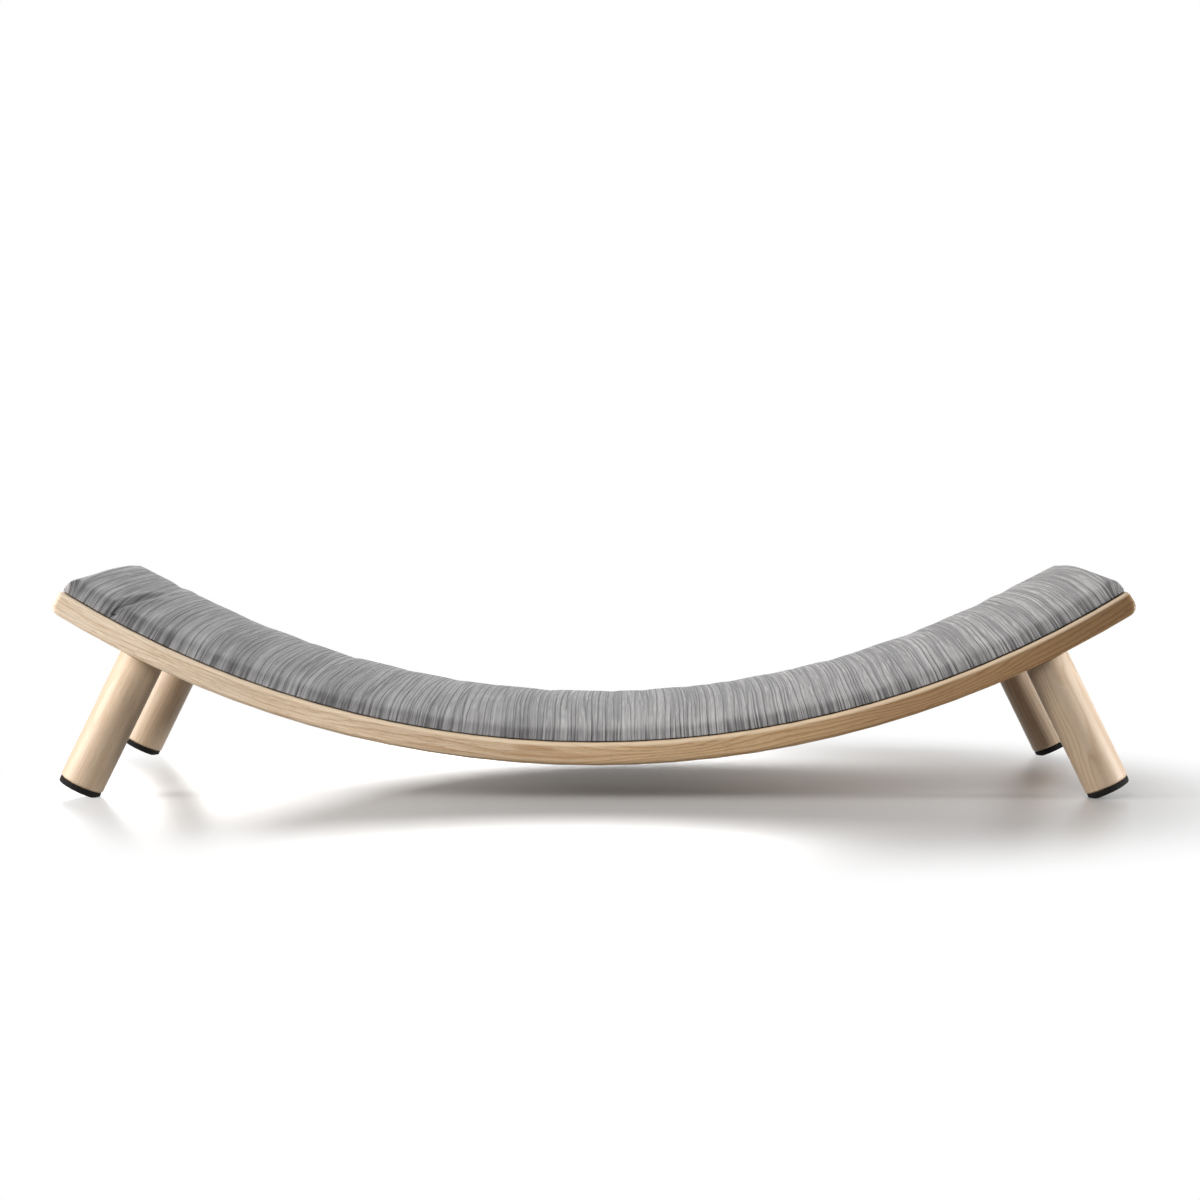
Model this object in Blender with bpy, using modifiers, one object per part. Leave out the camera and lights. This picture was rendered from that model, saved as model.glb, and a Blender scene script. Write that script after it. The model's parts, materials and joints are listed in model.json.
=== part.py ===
"""A low cat bed: a bent-laminated oak seat on four splayed dowel legs, with a striped pad.

The seat is an arc of a circle about a level axis that runs front to rear, high over the bed.
Every bent piece is modelled flat first, as the veneers and the fabric are cut, and is then laid
on that arc. The legs, their bolts and their feet stand square to the arc.

+X runs along the bed, the front faces -Y, and +Z is up. The origin is on the floor under the
middle of the bed. Lengths are in metres and angles in degrees.
"""

import math

import bmesh
import bpy
from mathutils import Matrix, Vector

# Bent board
SEAT_RADIUS = 0.702
SEAT_LENGTH = 0.782
SEAT_DEPTH = 0.360
BOARD_THICKNESS = 0.016
EDGE_ROUND = 0.003
LOWER_END_ROUND = 0.007

# Legs, which screw up against the board's underside
LEG_DIAMETER = 0.032
LEG_LENGTH = 0.0992
LEG_FROM_END = 0.070
LEG_FROM_EDGE = 0.026
LEG_CHAMFER = 0.0012

# Rubber feet, each held by a screw in its middle
FOOT_DIAMETER = 0.031
FOOT_THICKNESS = 0.0042
FOOT_ROUND = 0.0017
FOOT_FACET_DEPTH = 0.0013
FOOT_POCKET_DIAMETER = 0.0094
FOOT_POCKET_DEPTH = 0.0025
FOOT_SCREW_DIAMETER = 0.0036
FOOT_SCREW_LENGTH = 0.020
FOOT_SCREW_HEAD_DIAMETER = 0.0078
FOOT_SCREW_HEAD_HEIGHT = 0.0018

# Hanger bolts and the T-nuts that take them
BOLT_DIAMETER = 0.008
BOLT_LENGTH = 0.042
BOLT_IN_BOARD = 0.0125
BOLT_CHAMFER = 0.0008
FLANGE_DIAMETER = 0.022
FLANGE_THICKNESS = 0.0014
FLANGE_RECESS = 0.0006
BARREL_DIAMETER = 0.0102
BARREL_LENGTH = 0.0095
PRONGS = 4
PRONG_CIRCLE_DIAMETER = 0.016
PRONG_WIDTH = 0.0026
PRONG_TIP_WIDTH = 0.0007
PRONG_LENGTH = 0.0058

# Hook and loop strips between the board and the pad, one pair at each end
STRIP_WIDTH = 0.020
STRIP_FROM_EDGE = 0.050
STRIP_THICKNESS = 0.00105
STRIP_FROM_END = 0.022

# Pad: a cover whose sides reach down to the board, with a base panel inside them
PAD_INSET = 0.001
SIDE_DRAW = 0.0015
END_DRAW = 0.002
COVER_THICKNESS = 0.0012
COVER_LEAN = 0.0018
BORDER_HEIGHT = 0.0072
MIDDLE_HEIGHT = 0.0190
END_HEIGHT = 0.0175
CROWN_FALL = 1.0
END_FALL = 3.0
SHOULDER = 0.012
END_CROWN_SHARE = 0.5
FILLING_DROP = 0.0009
ROW_SHARE = 0.55
BASE_THICKNESS = 0.0012
BASE_CORNER_RADIUS = 0.014

# Zip in the base panel, near the pad's rear edge
ZIP_FROM_END = 0.115
ZIP_FROM_REAR = 0.060
ZIP_TAPE_WIDTH = 0.015
CHAIN_WIDTH = 0.0042
CHAIN_THICKNESS = 0.0020
ZIP_STOP_LENGTH = 0.0030
SLIDER_LENGTH = 0.0090
SLIDER_WIDTH = 0.0078
SLIDER_WALL = 0.0010
SLIDER_CORNER = 0.0012
SLIDER_NECK = 0.0006
SLIDER_RUNNING_GAP = 0.0004

# Clearance between pieces that touch
GAP = 0.0003

# Least angles between faces that make an edge sharp, and that ease it
SHARP_ANGLE = 32
EASED_ANGLE = 50

# Facets: cells along the arc, and steps round the turned pieces
ARC_CELLS = 28
LEG_STEPS = 24
SMALL_STEPS = 16
FOOT_ROUND_STEPS = 3
AXIS_MERGE = 0.00005

# Places worked out from the sizes above
LEG_ALONG = SEAT_LENGTH / 2 - LEG_FROM_END
LEG_ACROSS = SEAT_DEPTH / 2 - LEG_FROM_EDGE
LEG_TURN = LEG_ALONG / SEAT_RADIUS
STRIP_LENGTH = SEAT_DEPTH - 2 * STRIP_FROM_EDGE
STRIP_STACK = 3 * GAP + 2 * STRIP_THICKNESS
BASE_TOP = STRIP_STACK + BASE_THICKNESS
PAD_LENGTH = SEAT_LENGTH - 2 * PAD_INSET
PAD_DEPTH = SEAT_DEPTH - 2 * PAD_INSET
FILLING_INSET = COVER_THICKNESS + COVER_LEAN + GAP
ZIP_LENGTH = PAD_LENGTH - 2 * ZIP_FROM_END
ZIP_ACROSS = PAD_DEPTH / 2 - ZIP_FROM_REAR
ZIP_MIDDLE = STRIP_STACK + BASE_THICKNESS / 2
SLIDER_THICKNESS = CHAIN_THICKNESS + 2 * (SLIDER_RUNNING_GAP + SLIDER_WALL)


def arc_centre_height():
    """Height of the arc's axis, from the leg's length and where its tilted foot meets the floor."""
    foot_end = SEAT_RADIUS + BOARD_THICKNESS + LEG_LENGTH + FOOT_THICKNESS + 2 * GAP
    lowest = (foot_end - FOOT_ROUND) * math.cos(LEG_TURN)
    lowest += (FOOT_DIAMETER / 2 - FOOT_ROUND) * math.sin(LEG_TURN)
    return lowest + FOOT_ROUND - FOOT_FACET_DEPTH


ARC_HEIGHT = arc_centre_height()


def on_seat(along, across, height):
    """The point over the seat's curve at a length along it, a place across it and a height."""
    turn = along / SEAT_RADIUS
    reach = SEAT_RADIUS - height
    return Vector((reach * math.sin(turn), across, ARC_HEIGHT - reach * math.cos(turn)))


def arc_lines():
    """The places along the seat at which every bent piece has a row of vertices."""
    return [SEAT_LENGTH * (cell / ARC_CELLS - 0.5) for cell in range(1, ARC_CELLS)]


# Scene, collections and materials

def clear_scene():
    for obj in list(bpy.data.objects):
        bpy.data.objects.remove(obj)


def make_collection(name):
    collection = bpy.data.collections.new(name)
    bpy.context.scene.collection.children.link(collection)
    return collection


def make_material(name, colour, roughness, metallic=0.0):
    material = bpy.data.materials.new(name)
    material.use_nodes = True
    shader = material.node_tree.nodes["Principled BSDF"]
    shader.inputs["Base Color"].default_value = (*colour, 1.0)
    shader.inputs["Roughness"].default_value = roughness
    shader.inputs["Metallic"].default_value = metallic
    material.diffuse_color = (*colour, 1.0)
    return material


clear_scene()
BED = make_collection("cat_bed")
CUTTERS = make_collection("cutters")
OAK_BOARD = make_material("oak_board", (0.60, 0.42, 0.26), 0.50)
OAK_DOWEL = make_material("oak_dowel", (0.62, 0.44, 0.27), 0.48)
STEEL = make_material("zinc_plated_steel", (0.62, 0.63, 0.65), 0.35, 1.0)
RUBBER = make_material("black_rubber", (0.02, 0.02, 0.02), 0.80)
STRIPED_FABRIC = make_material("striped_fabric", (0.18, 0.18, 0.20), 0.92)
BASE_FABRIC = make_material("base_fabric", (0.07, 0.07, 0.075), 0.90)
HOOK_TAPE = make_material("hook_tape", (0.03, 0.03, 0.03), 0.85)
LOOP_TAPE = make_material("loop_tape", (0.04, 0.04, 0.042), 0.95)
FOAM = make_material("foam", (0.75, 0.72, 0.62), 0.95)
ZIP_TAPE = make_material("zip_tape", (0.05, 0.05, 0.055), 0.80)


def add_object(name, mesh, material, collection=None):
    obj = bpy.data.objects.new(name, mesh)
    (collection or BED).objects.link(obj)
    if material and not mesh.materials:
        mesh.materials.append(material)
    return obj


def add_cutter(name, mesh):
    obj = add_object(name, mesh, None, CUTTERS)
    obj.hide_render = True
    obj.display_type = "WIRE"
    return obj


def mesh_from(bm, name):
    bmesh.ops.recalc_face_normals(bm, faces=bm.faces)
    mesh = bpy.data.meshes.new(name)
    bm.to_mesh(mesh)
    bm.free()
    mesh.shade_smooth()
    mesh.set_sharp_from_angle(angle=math.radians(SHARP_ANGLE))
    return mesh


def cut(obj, cutter, operation="DIFFERENCE"):
    boolean = obj.modifiers.new(cutter.name, "BOOLEAN")
    boolean.operation = operation
    boolean.object = cutter
    boolean.solver = "EXACT"


# Flat pieces, and the bend that lays them on the arc

def slab(length, depth, low, high):
    """A flat box centred on the seat's middle, from one height to another."""
    bm = bmesh.new()
    bmesh.ops.create_cube(bm, size=1.0)
    bmesh.ops.scale(bm, vec=(length, depth, high - low), verts=bm.verts)
    bmesh.ops.translate(bm, vec=(0, 0, (low + high) / 2), verts=bm.verts)
    return bm


def slice_across(bm, places, direction=(1, 0, 0)):
    """Cut rows of vertices into a flat piece at the given places."""
    low = min(vert.co.dot(Vector(direction)) for vert in bm.verts)
    high = max(vert.co.dot(Vector(direction)) for vert in bm.verts)
    for place in places:
        if low + GAP < place < high - GAP:
            everything = bm.verts[:] + bm.edges[:] + bm.faces[:]
            point = Vector(direction) * place
            bmesh.ops.bisect_plane(bm, geom=everything, plane_co=point, plane_no=direction)


def move(bm, along=0.0, across=0.0, height=0.0):
    bmesh.ops.translate(bm, vec=(along, across, height), verts=bm.verts)


def laid_on_seat(obj):
    """Evaluate a flat piece with its modifiers and bend the result onto the arc."""
    graph = bpy.context.evaluated_depsgraph_get()
    bent = bpy.data.meshes.new_from_object(obj.evaluated_get(graph))
    bent.name = obj.name
    for vert in bent.vertices:
        vert.co = on_seat(*vert.co)
    obj.modifiers.clear()
    flat = obj.data
    obj.data = bent
    bpy.data.meshes.remove(flat)
    return obj


def stand_on_seat(obj, along, across, height, spin=0.0):
    """Place a straight piece square to the arc, its +Z towards the arc's axis."""
    obj.location = on_seat(along, across, height)
    tilt = Matrix.Rotation(-along / SEAT_RADIUS, 4, "Y")
    obj.rotation_euler = (tilt @ Matrix.Rotation(spin, 4, "Z")).to_euler()
    return obj


def leg_places():
    """Name, place along, place across and spin of each leg; the spin turns its foot's facet in."""
    for across, row in ((-LEG_ACROSS, "front"), (LEG_ACROSS, "rear")):
        for side, spin, end in ((-1, math.pi, "left"), (1, 0.0, "right")):
            yield f"{row}_{end}", side * LEG_ALONG, across, spin


# Turned pieces

def turned_mesh(name, profile, closed=False):
    """A profile of (radius, height) points that runs down the outer side, for a Screw modifier."""
    bm = bmesh.new()
    verts = [bm.verts.new((radius, 0.0, height)) for radius, height in profile]
    pairs = list(zip(verts, verts[1:]))
    if closed:
        pairs.append((verts[-1], verts[0]))
    for start, end in pairs:
        bm.edges.new((start, end))
    mesh = bpy.data.meshes.new(name)
    bm.to_mesh(mesh)
    bm.free()
    return mesh


def turn(obj, steps):
    screw = obj.modifiers.new("turn", "SCREW")
    screw.axis = "Z"
    screw.angle = math.tau
    screw.steps = steps
    screw.render_steps = steps
    screw.use_merge_vertices = True
    screw.merge_threshold = AXIS_MERGE
    screw.use_smooth_shade = True
    return obj


def arc_points(centre_radius, centre_height, radius, start, end, count):
    """Points on a round corner of a turned profile, from one angle to another."""
    for step in range(count + 1):
        angle = math.radians(start + (end - start) * step / count)
        yield centre_radius + radius * math.cos(angle), centre_height + radius * math.sin(angle)


# Board

def make_board():
    bm = slab(SEAT_LENGTH, SEAT_DEPTH, -BOARD_THICKNESS, 0.0)
    half = SEAT_LENGTH / 2
    lower_ends = [edge for edge in bm.edges
                  if all(vert.co.z < -BOARD_THICKNESS / 2 for vert in edge.verts)
                  and all(abs(vert.co.x) > half - GAP for vert in edge.verts)
                  and abs(edge.verts[0].co.y - edge.verts[1].co.y) > BOARD_THICKNESS]
    bmesh.ops.bevel(bm, geom=lower_ends, offset=LOWER_END_ROUND, offset_type="OFFSET",
                    segments=4, profile=0.5, affect="EDGES")
    slice_across(bm, arc_lines())
    board = add_object("seat_board", mesh_from(bm, "seat_board"), OAK_BOARD)
    edges = board.modifiers.new("eased_edges", "BEVEL")
    edges.width = EDGE_ROUND
    edges.segments = 3
    edges.limit_method = "ANGLE"
    edges.angle_limit = math.radians(EASED_ANGLE)
    laid_on_seat(board)
    for name, along, across, spin in leg_places():
        cut(board, stand_on_seat(make_drill(name), along, across, 0.0, spin))
        cut(board, stand_on_seat(make_prong_pockets(name), along, across, 0.0, spin))
    return board


def make_drill(name):
    """The stepped hole for a T-nut: its flange's pocket, its barrel and the bolt below it."""
    pocket = FLANGE_RECESS + FLANGE_THICKNESS + GAP
    barrel = FLANGE_RECESS + FLANGE_THICKNESS + BARREL_LENGTH + GAP
    over = EDGE_ROUND
    profile = [
        (0.0, over),
        (FLANGE_DIAMETER / 2 + GAP, over),
        (FLANGE_DIAMETER / 2 + GAP, -pocket),
        (BARREL_DIAMETER / 2 + GAP, -pocket),
        (BARREL_DIAMETER / 2 + GAP, -barrel),
        (BOLT_DIAMETER / 2 + 2 * GAP, -barrel),
        (BOLT_DIAMETER / 2 + 2 * GAP, -BOARD_THICKNESS - over),
        (0.0, -BOARD_THICKNESS - over),
    ]
    return turn(add_cutter(f"drill_{name}", turned_mesh("drill", profile)), LEG_STEPS)


def prong_mesh(name, clearance):
    """Four tapered prongs that point down from the T-nut's flange, or the pockets for them."""
    flange_bottom = FLANGE_RECESS + FLANGE_THICKNESS
    top = -flange_bottom + FLANGE_THICKNESS / 4
    length = PRONG_LENGTH + FLANGE_THICKNESS / 4 + clearance
    bm = bmesh.new()
    for prong in range(PRONGS):
        turn_to = Matrix.Rotation(math.tau * (prong + 0.5) / PRONGS, 4, "Z")
        seat = Matrix.Translation((PRONG_CIRCLE_DIAMETER / 2, 0, top - length / 2))
        bmesh.ops.create_cone(bm, cap_ends=True, segments=4, depth=length,
                              radius1=PRONG_TIP_WIDTH / math.sqrt(2) + clearance * math.sqrt(2),
                              radius2=PRONG_WIDTH / math.sqrt(2) + clearance * math.sqrt(2),
                              matrix=turn_to @ seat @ Matrix.Rotation(math.pi / 4, 4, "Z"))
    return mesh_from(bm, name)


def make_prong_pockets(name):
    return add_cutter(f"prong_pockets_{name}", prong_mesh("prong_pockets", GAP))


# Legs and what holds them

def make_leg(name, along, across, spin):
    radius = LEG_DIAMETER / 2
    bolt_hole = BOLT_DIAMETER / 2 + GAP
    bolt_depth = BOLT_LENGTH - BOLT_IN_BOARD + GAP
    screw_hole = FOOT_SCREW_DIAMETER / 2 + GAP
    screw_depth = screw_reach() + GAP
    profile = [
        (0.0, -bolt_depth),
        (bolt_hole, -bolt_depth),
        (bolt_hole, 0.0),
        (radius - LEG_CHAMFER, 0.0),
        (radius, -LEG_CHAMFER),
        (radius, -LEG_LENGTH + LEG_CHAMFER),
        (radius - LEG_CHAMFER, -LEG_LENGTH),
        (screw_hole, -LEG_LENGTH),
        (screw_hole, -LEG_LENGTH + screw_depth),
        (0.0, -LEG_LENGTH + screw_depth),
    ]
    leg = turn(add_object(f"leg_{name}", turned_mesh("leg", profile), OAK_DOWEL), LEG_STEPS)
    return stand_on_seat(leg, along, across, -BOARD_THICKNESS - GAP, spin)


def screw_reach():
    """How far the foot's screw goes into the leg."""
    rubber_under_head = FOOT_THICKNESS - FOOT_POCKET_DEPTH
    return FOOT_SCREW_LENGTH - rubber_under_head - 2 * GAP


def make_bolt(name, along, across, spin):
    radius = BOLT_DIAMETER / 2
    profile = [
        (0.0, 0.0),
        (radius - BOLT_CHAMFER, 0.0),
        (radius, -BOLT_CHAMFER),
        (radius, -BOLT_LENGTH + 2 * radius),
        (BOLT_CHAMFER, -BOLT_LENGTH),
        (0.0, -BOLT_LENGTH),
    ]
    mesh = turned_mesh("hanger_bolt", profile)
    bolt = turn(add_object(f"hanger_bolt_{name}", mesh, STEEL), SMALL_STEPS)
    return stand_on_seat(bolt, along, across, -BOARD_THICKNESS - GAP + BOLT_IN_BOARD, spin)


def make_t_nut(name, along, across, spin):
    flange_top = -FLANGE_RECESS
    flange_bottom = flange_top - FLANGE_THICKNESS
    bore = BOLT_DIAMETER / 2 + GAP
    profile = [
        (FLANGE_DIAMETER / 2, flange_top),
        (FLANGE_DIAMETER / 2, flange_bottom),
        (BARREL_DIAMETER / 2, flange_bottom),
        (BARREL_DIAMETER / 2, flange_bottom - BARREL_LENGTH),
        (bore, flange_bottom - BARREL_LENGTH),
        (bore, flange_top),
    ]
    mesh = turned_mesh("t_nut", profile, closed=True)
    nut = turn(add_object(f"t_nut_{name}", mesh, STEEL), LEG_STEPS)
    stand_on_seat(nut, along, across, 0.0, spin)
    prongs = add_cutter(f"prongs_{name}", prong_mesh("prongs", 0.0))
    cut(nut, stand_on_seat(prongs, along, across, 0.0, spin), "UNION")
    return nut


def make_foot(name, along, across, spin, floor):
    radius = FOOT_DIAMETER / 2
    pocket = FOOT_POCKET_DIAMETER / 2
    pocket_top = -FOOT_THICKNESS + FOOT_POCKET_DEPTH
    shank = FOOT_SCREW_DIAMETER / 2 + GAP
    rim = arc_points(radius - FOOT_ROUND, FOOT_ROUND - FOOT_THICKNESS, FOOT_ROUND, 0, -90,
                     FOOT_ROUND_STEPS)
    profile = [(radius, 0.0), *rim, (pocket, -FOOT_THICKNESS), (pocket, pocket_top),
               (shank, pocket_top), (shank, 0.0)]
    mesh = turned_mesh("foot", profile, closed=True)
    foot = turn(add_object(f"foot_{name}", mesh, RUBBER), LEG_STEPS)
    cut(foot, floor)
    return stand_on_seat(foot, along, across, -BOARD_THICKNESS - LEG_LENGTH - 2 * GAP, spin)


def make_foot_screw(name, along, across, spin):
    """A pan-head screw that stands in the foot's pocket, measured from the head's underside."""
    radius = FOOT_SCREW_DIAMETER / 2
    head = FOOT_SCREW_HEAD_DIAMETER / 2
    dome = head - FOOT_SCREW_HEAD_HEIGHT / 2
    profile = [
        (0.0, FOOT_SCREW_LENGTH),
        (radius, FOOT_SCREW_LENGTH - 2 * radius),
        (radius, 0.0),
        (head, 0.0),
        (head, -FOOT_SCREW_HEAD_HEIGHT / 2),
        (dome, -FOOT_SCREW_HEAD_HEIGHT),
        (0.0, -FOOT_SCREW_HEAD_HEIGHT),
    ]
    mesh = turned_mesh("foot_screw", profile)
    screw = turn(add_object(f"foot_screw_{name}", mesh, STEEL), SMALL_STEPS)
    seat = -BOARD_THICKNESS - LEG_LENGTH - 2 * GAP - FOOT_THICKNESS + FOOT_POCKET_DEPTH - GAP
    return stand_on_seat(screw, along, across, seat, spin)


def make_legs():
    floor_mesh = mesh_from(slab(2 * SEAT_LENGTH, 2 * SEAT_DEPTH, -LEG_LENGTH, 0.0), "floor")
    floor = add_cutter("floor_level", floor_mesh)
    for name, along, across, spin in leg_places():
        make_leg(name, along, across, spin)
        make_bolt(name, along, across, spin)
        make_t_nut(name, along, across, spin)
        make_foot(name, along, across, spin, floor)
        make_foot_screw(name, along, across, spin)


# Hook and loop strips

def make_strips():
    layers = (("hook_strip", GAP, HOOK_TAPE), ("loop_strip", 2 * GAP + STRIP_THICKNESS, LOOP_TAPE))
    for layer, low, material in layers:
        for side, end in ((-1, "left"), (1, "right")):
            bm = slab(STRIP_WIDTH, STRIP_LENGTH, low, low + STRIP_THICKNESS)
            move(bm, along=side * (SEAT_LENGTH / 2 - STRIP_FROM_END))
            slice_across(bm, arc_lines())
            name = f"{layer}_{end}"
            laid_on_seat(add_object(name, mesh_from(bm, name), material))


# Pad

def pad_height(along_share, across_share):
    """Height of the pad's crowned top over the seat, at shares of its half length and depth.

    Past the shoulder at each end the crown falls to a share of itself.
    """
    to_middle = 1.0 - abs(along_share) ** END_FALL
    crown = END_HEIGHT + (MIDDLE_HEIGHT - END_HEIGHT) * to_middle - BORDER_HEIGHT
    across = max(0.0, 1.0 - across_share ** 2) ** CROWN_FALL
    end = min(1.0, (1.0 - abs(along_share)) * PAD_LENGTH / 2 / SHOULDER)
    end_crown = END_CROWN_SHARE + (1.0 - END_CROWN_SHARE) * end
    return BORDER_HEIGHT + crown * across * end_crown


def draw_in(bm, length, depth):
    """Pull the sides of a flat piece of the pad in between its corners."""
    for vert in bm.verts:
        along_share = vert.co.x / (length / 2)
        across_share = vert.co.y / (depth / 2)
        vert.co.x -= END_DRAW * along_share * (1.0 - across_share ** 2)
        vert.co.y -= SIDE_DRAW * across_share * (1.0 - along_share ** 2)
    bm.normal_update()


def crowned_cage(inset, low, drop):
    """A coarse box on the pad's outline with its top raised to the crown.

    The inset is measured from the cover's outer face, low is the underside's height over the
    seat, and drop lowers the crown by what lies on top of it.
    """
    length = PAD_LENGTH - 2 * inset
    depth = PAD_DEPTH - 2 * inset
    bm = slab(length, depth, low, BORDER_HEIGHT - drop)
    slice_across(bm, arc_lines()[1::2])
    slice_across(bm, (-length / 2 + SHOULDER, length / 2 - SHOULDER))
    shoulder = depth / 2 - SHOULDER
    rows = (-shoulder, -shoulder * ROW_SHARE, 0.0, shoulder * ROW_SHARE, shoulder)
    slice_across(bm, rows, (0, 1, 0))
    for vert in bm.verts:
        if vert.co.z > low + GAP:
            vert.co.z = pad_height(2 * vert.co.x / length, 2 * vert.co.y / depth) - drop
    draw_in(bm, length, depth)
    return bm


def soften(obj, levels=1):
    soft = obj.modifiers.new("soft", "SUBSURF")
    soft.levels = levels
    soft.render_levels = levels
    return obj


def make_cover():
    bm = crowned_cage(0.0, 1.5 * GAP, 0.0)
    underside = [face for face in bm.faces if all(vert.co.z < 2 * GAP for vert in face.verts)]
    bmesh.ops.delete(bm, geom=underside, context="FACES")
    cover = soften(add_object("pad_cover", mesh_from(bm, "pad_cover"), STRIPED_FABRIC))
    wall = cover.modifiers.new("fabric", "SOLIDIFY")
    wall.thickness = COVER_THICKNESS
    wall.offset = -1.0
    wall.use_even_offset = True
    return laid_on_seat(cover)


def make_foam(slider_way):
    bm = crowned_cage(FILLING_INSET, BASE_TOP + GAP, COVER_THICKNESS + FILLING_DROP)
    crease = bm.edges.layers.float.new("crease_edge")
    low = min(vert.co.z for vert in bm.verts)
    for edge in bm.edges:
        rim = any(face.normal.z > -0.5 for face in edge.link_faces)
        if rim and all(vert.co.z < low + GAP for vert in edge.verts):
            edge[crease] = 1.0
    foam = soften(add_object("pad_foam", mesh_from(bm, "pad_foam"), FOAM))
    laid_on_seat(foam)
    cut(foam, slider_way)
    return foam


def make_base():
    length = PAD_LENGTH - 2 * FILLING_INSET
    depth = PAD_DEPTH - 2 * FILLING_INSET
    bm = slab(length, depth, STRIP_STACK, BASE_TOP)
    upright = [edge for edge in bm.edges
               if abs(edge.verts[0].co.x) > PAD_LENGTH / 2 - SHOULDER
               and abs(edge.verts[0].co.z - edge.verts[1].co.z) > BASE_THICKNESS / 2]
    bmesh.ops.bevel(bm, geom=upright, offset=BASE_CORNER_RADIUS, offset_type="OFFSET",
                    segments=3, profile=0.5, affect="EDGES")
    slice_across(bm, arc_lines())
    draw_in(bm, length, depth)
    base = laid_on_seat(add_object("pad_base", mesh_from(bm, "pad_base"), BASE_FABRIC))
    slot = slab(zip_room(), ZIP_TAPE_WIDTH + 2 * GAP, 0.0, 2 * BASE_TOP)
    move(slot, across=ZIP_ACROSS)
    slice_across(slot, arc_lines())
    cut(base, laid_on_seat(add_cutter("zip_slot", mesh_from(slot, "zip_slot"))))
    return base


# Zip

def extruded(outline, by):
    """Draw an outline out by a vector that it is centred on."""
    bm = bmesh.new()
    face = bm.faces.new([bm.verts.new(Vector(point) - Vector(by) / 2) for point in outline])
    drawn = bmesh.ops.extrude_face_region(bm, geom=[face])
    moved = [item for item in drawn["geom"] if isinstance(item, bmesh.types.BMVert)]
    bmesh.ops.translate(bm, vec=by, verts=moved)
    return bm


def tape_section(side):
    """One tape with its half of the chain, which stops short of the slider's neck."""
    inner = SLIDER_NECK / 2 + SLIDER_RUNNING_GAP
    outer = CHAIN_WIDTH / 2
    tape = BASE_THICKNESS / 2
    chain = CHAIN_THICKNESS / 2
    step = chain - tape
    upper = [(inner, tape), (inner + step, chain), (outer - step, chain), (outer, tape),
             (ZIP_TAPE_WIDTH / 2, tape)]
    return section_of(upper, side)


def section_of(upper, side):
    """A whole section from its upper half, turned to the front or the rear of the zip."""
    lower = [(across, -height) for across, height in reversed(upper)]
    return [(0.0, side * across, height) for across, height in upper + lower]


def make_zip():
    for side, name in ((-1, "zip_tape_front"), (1, "zip_tape_rear")):
        bm = extruded(tape_section(side), (ZIP_LENGTH, 0, 0))
        move(bm, across=ZIP_ACROSS, height=ZIP_MIDDLE)
        slice_across(bm, arc_lines())
        laid_on_seat(add_object(name, mesh_from(bm, name), ZIP_TAPE))


def zip_room():
    """Length that the zip needs with the stops crimped over its ends."""
    return ZIP_LENGTH + 2 * (GAP + SLIDER_WALL + GAP)


def slider_travel():
    """Length along the zip between the slider's middle and the zip's middle, at either stop."""
    return ZIP_LENGTH / 2 - ZIP_STOP_LENGTH - SLIDER_LENGTH / 2 - 2 * GAP


def make_zip_stops():
    """A clip crimped over each end of the chain, open towards the zip's middle."""
    inside = CHAIN_THICKNESS / 2 + GAP
    outside = inside + SLIDER_WALL
    end = ZIP_LENGTH / 2 + GAP
    start = ZIP_LENGTH / 2 - ZIP_STOP_LENGTH
    upper = [(end, inside), (start, inside), (start, outside), (end + SLIDER_WALL, outside)]
    lower = [(along, -height) for along, height in reversed(upper)]
    for side, name in ((-1, "zip_stop_left"), (1, "zip_stop_right")):
        outline = [(side * along, 0.0, height) for along, height in upper + lower]
        bm = extruded(outline, (0, CHAIN_WIDTH, 0))
        move(bm, across=ZIP_ACROSS, height=ZIP_MIDDLE)
        laid_on_seat(add_object(name, mesh_from(bm, name), STEEL))


def make_slider():
    """A pull-less slider: an upper and a lower plate on a thin neck between the chain's halves."""
    bm = slab(SLIDER_LENGTH, SLIDER_WIDTH, -SLIDER_THICKNESS / 2, SLIDER_THICKNESS / 2)
    corners = [edge for edge in bm.edges
               if abs(edge.verts[0].co.z - edge.verts[1].co.z) > SLIDER_WALL]
    bmesh.ops.bevel(bm, geom=corners, offset=SLIDER_CORNER, offset_type="OFFSET",
                    segments=2, profile=0.5, affect="EDGES")
    slider = add_object("zip_slider", mesh_from(bm, "zip_slider"), STEEL)
    stand_on_seat(slider, slider_travel(), ZIP_ACROSS, ZIP_MIDDLE)
    for side, end in ((-1, "front"), (1, "rear")):
        channel = extruded(channel_section(side), (2 * SLIDER_LENGTH, 0, 0))
        cutter = add_cutter(f"slider_channel_{end}", mesh_from(channel, "slider_channel"))
        cut(slider, stand_on_seat(cutter, slider_travel(), ZIP_ACROSS, ZIP_MIDDLE))
    return slider


def channel_section(side):
    """The way through the slider for one half of the chain, and out past its lip for the tape."""
    neck = SLIDER_NECK / 2
    lip = CHAIN_WIDTH / 2 + SLIDER_RUNNING_GAP
    chain = CHAIN_THICKNESS / 2 + SLIDER_RUNNING_GAP
    tape = BASE_THICKNESS / 2 + SLIDER_RUNNING_GAP
    return section_of([(neck, chain), (lip, chain), (lip, tape), (SLIDER_WIDTH, tape)], side)


def make_slider_way():
    """The channel in the foam's underside that the slider runs in."""
    top = ZIP_MIDDLE + SLIDER_THICKNESS / 2 + GAP
    way = slab(zip_room(), SLIDER_WIDTH + 2 * GAP, 0.0, top)
    move(way, across=ZIP_ACROSS)
    slice_across(way, arc_lines())
    return laid_on_seat(add_cutter("slider_way", mesh_from(way, "slider_way")))


make_board()
make_legs()
make_strips()
make_cover()
make_foam(make_slider_way())
make_base()
make_zip()
make_zip_stops()
make_slider()
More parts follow.
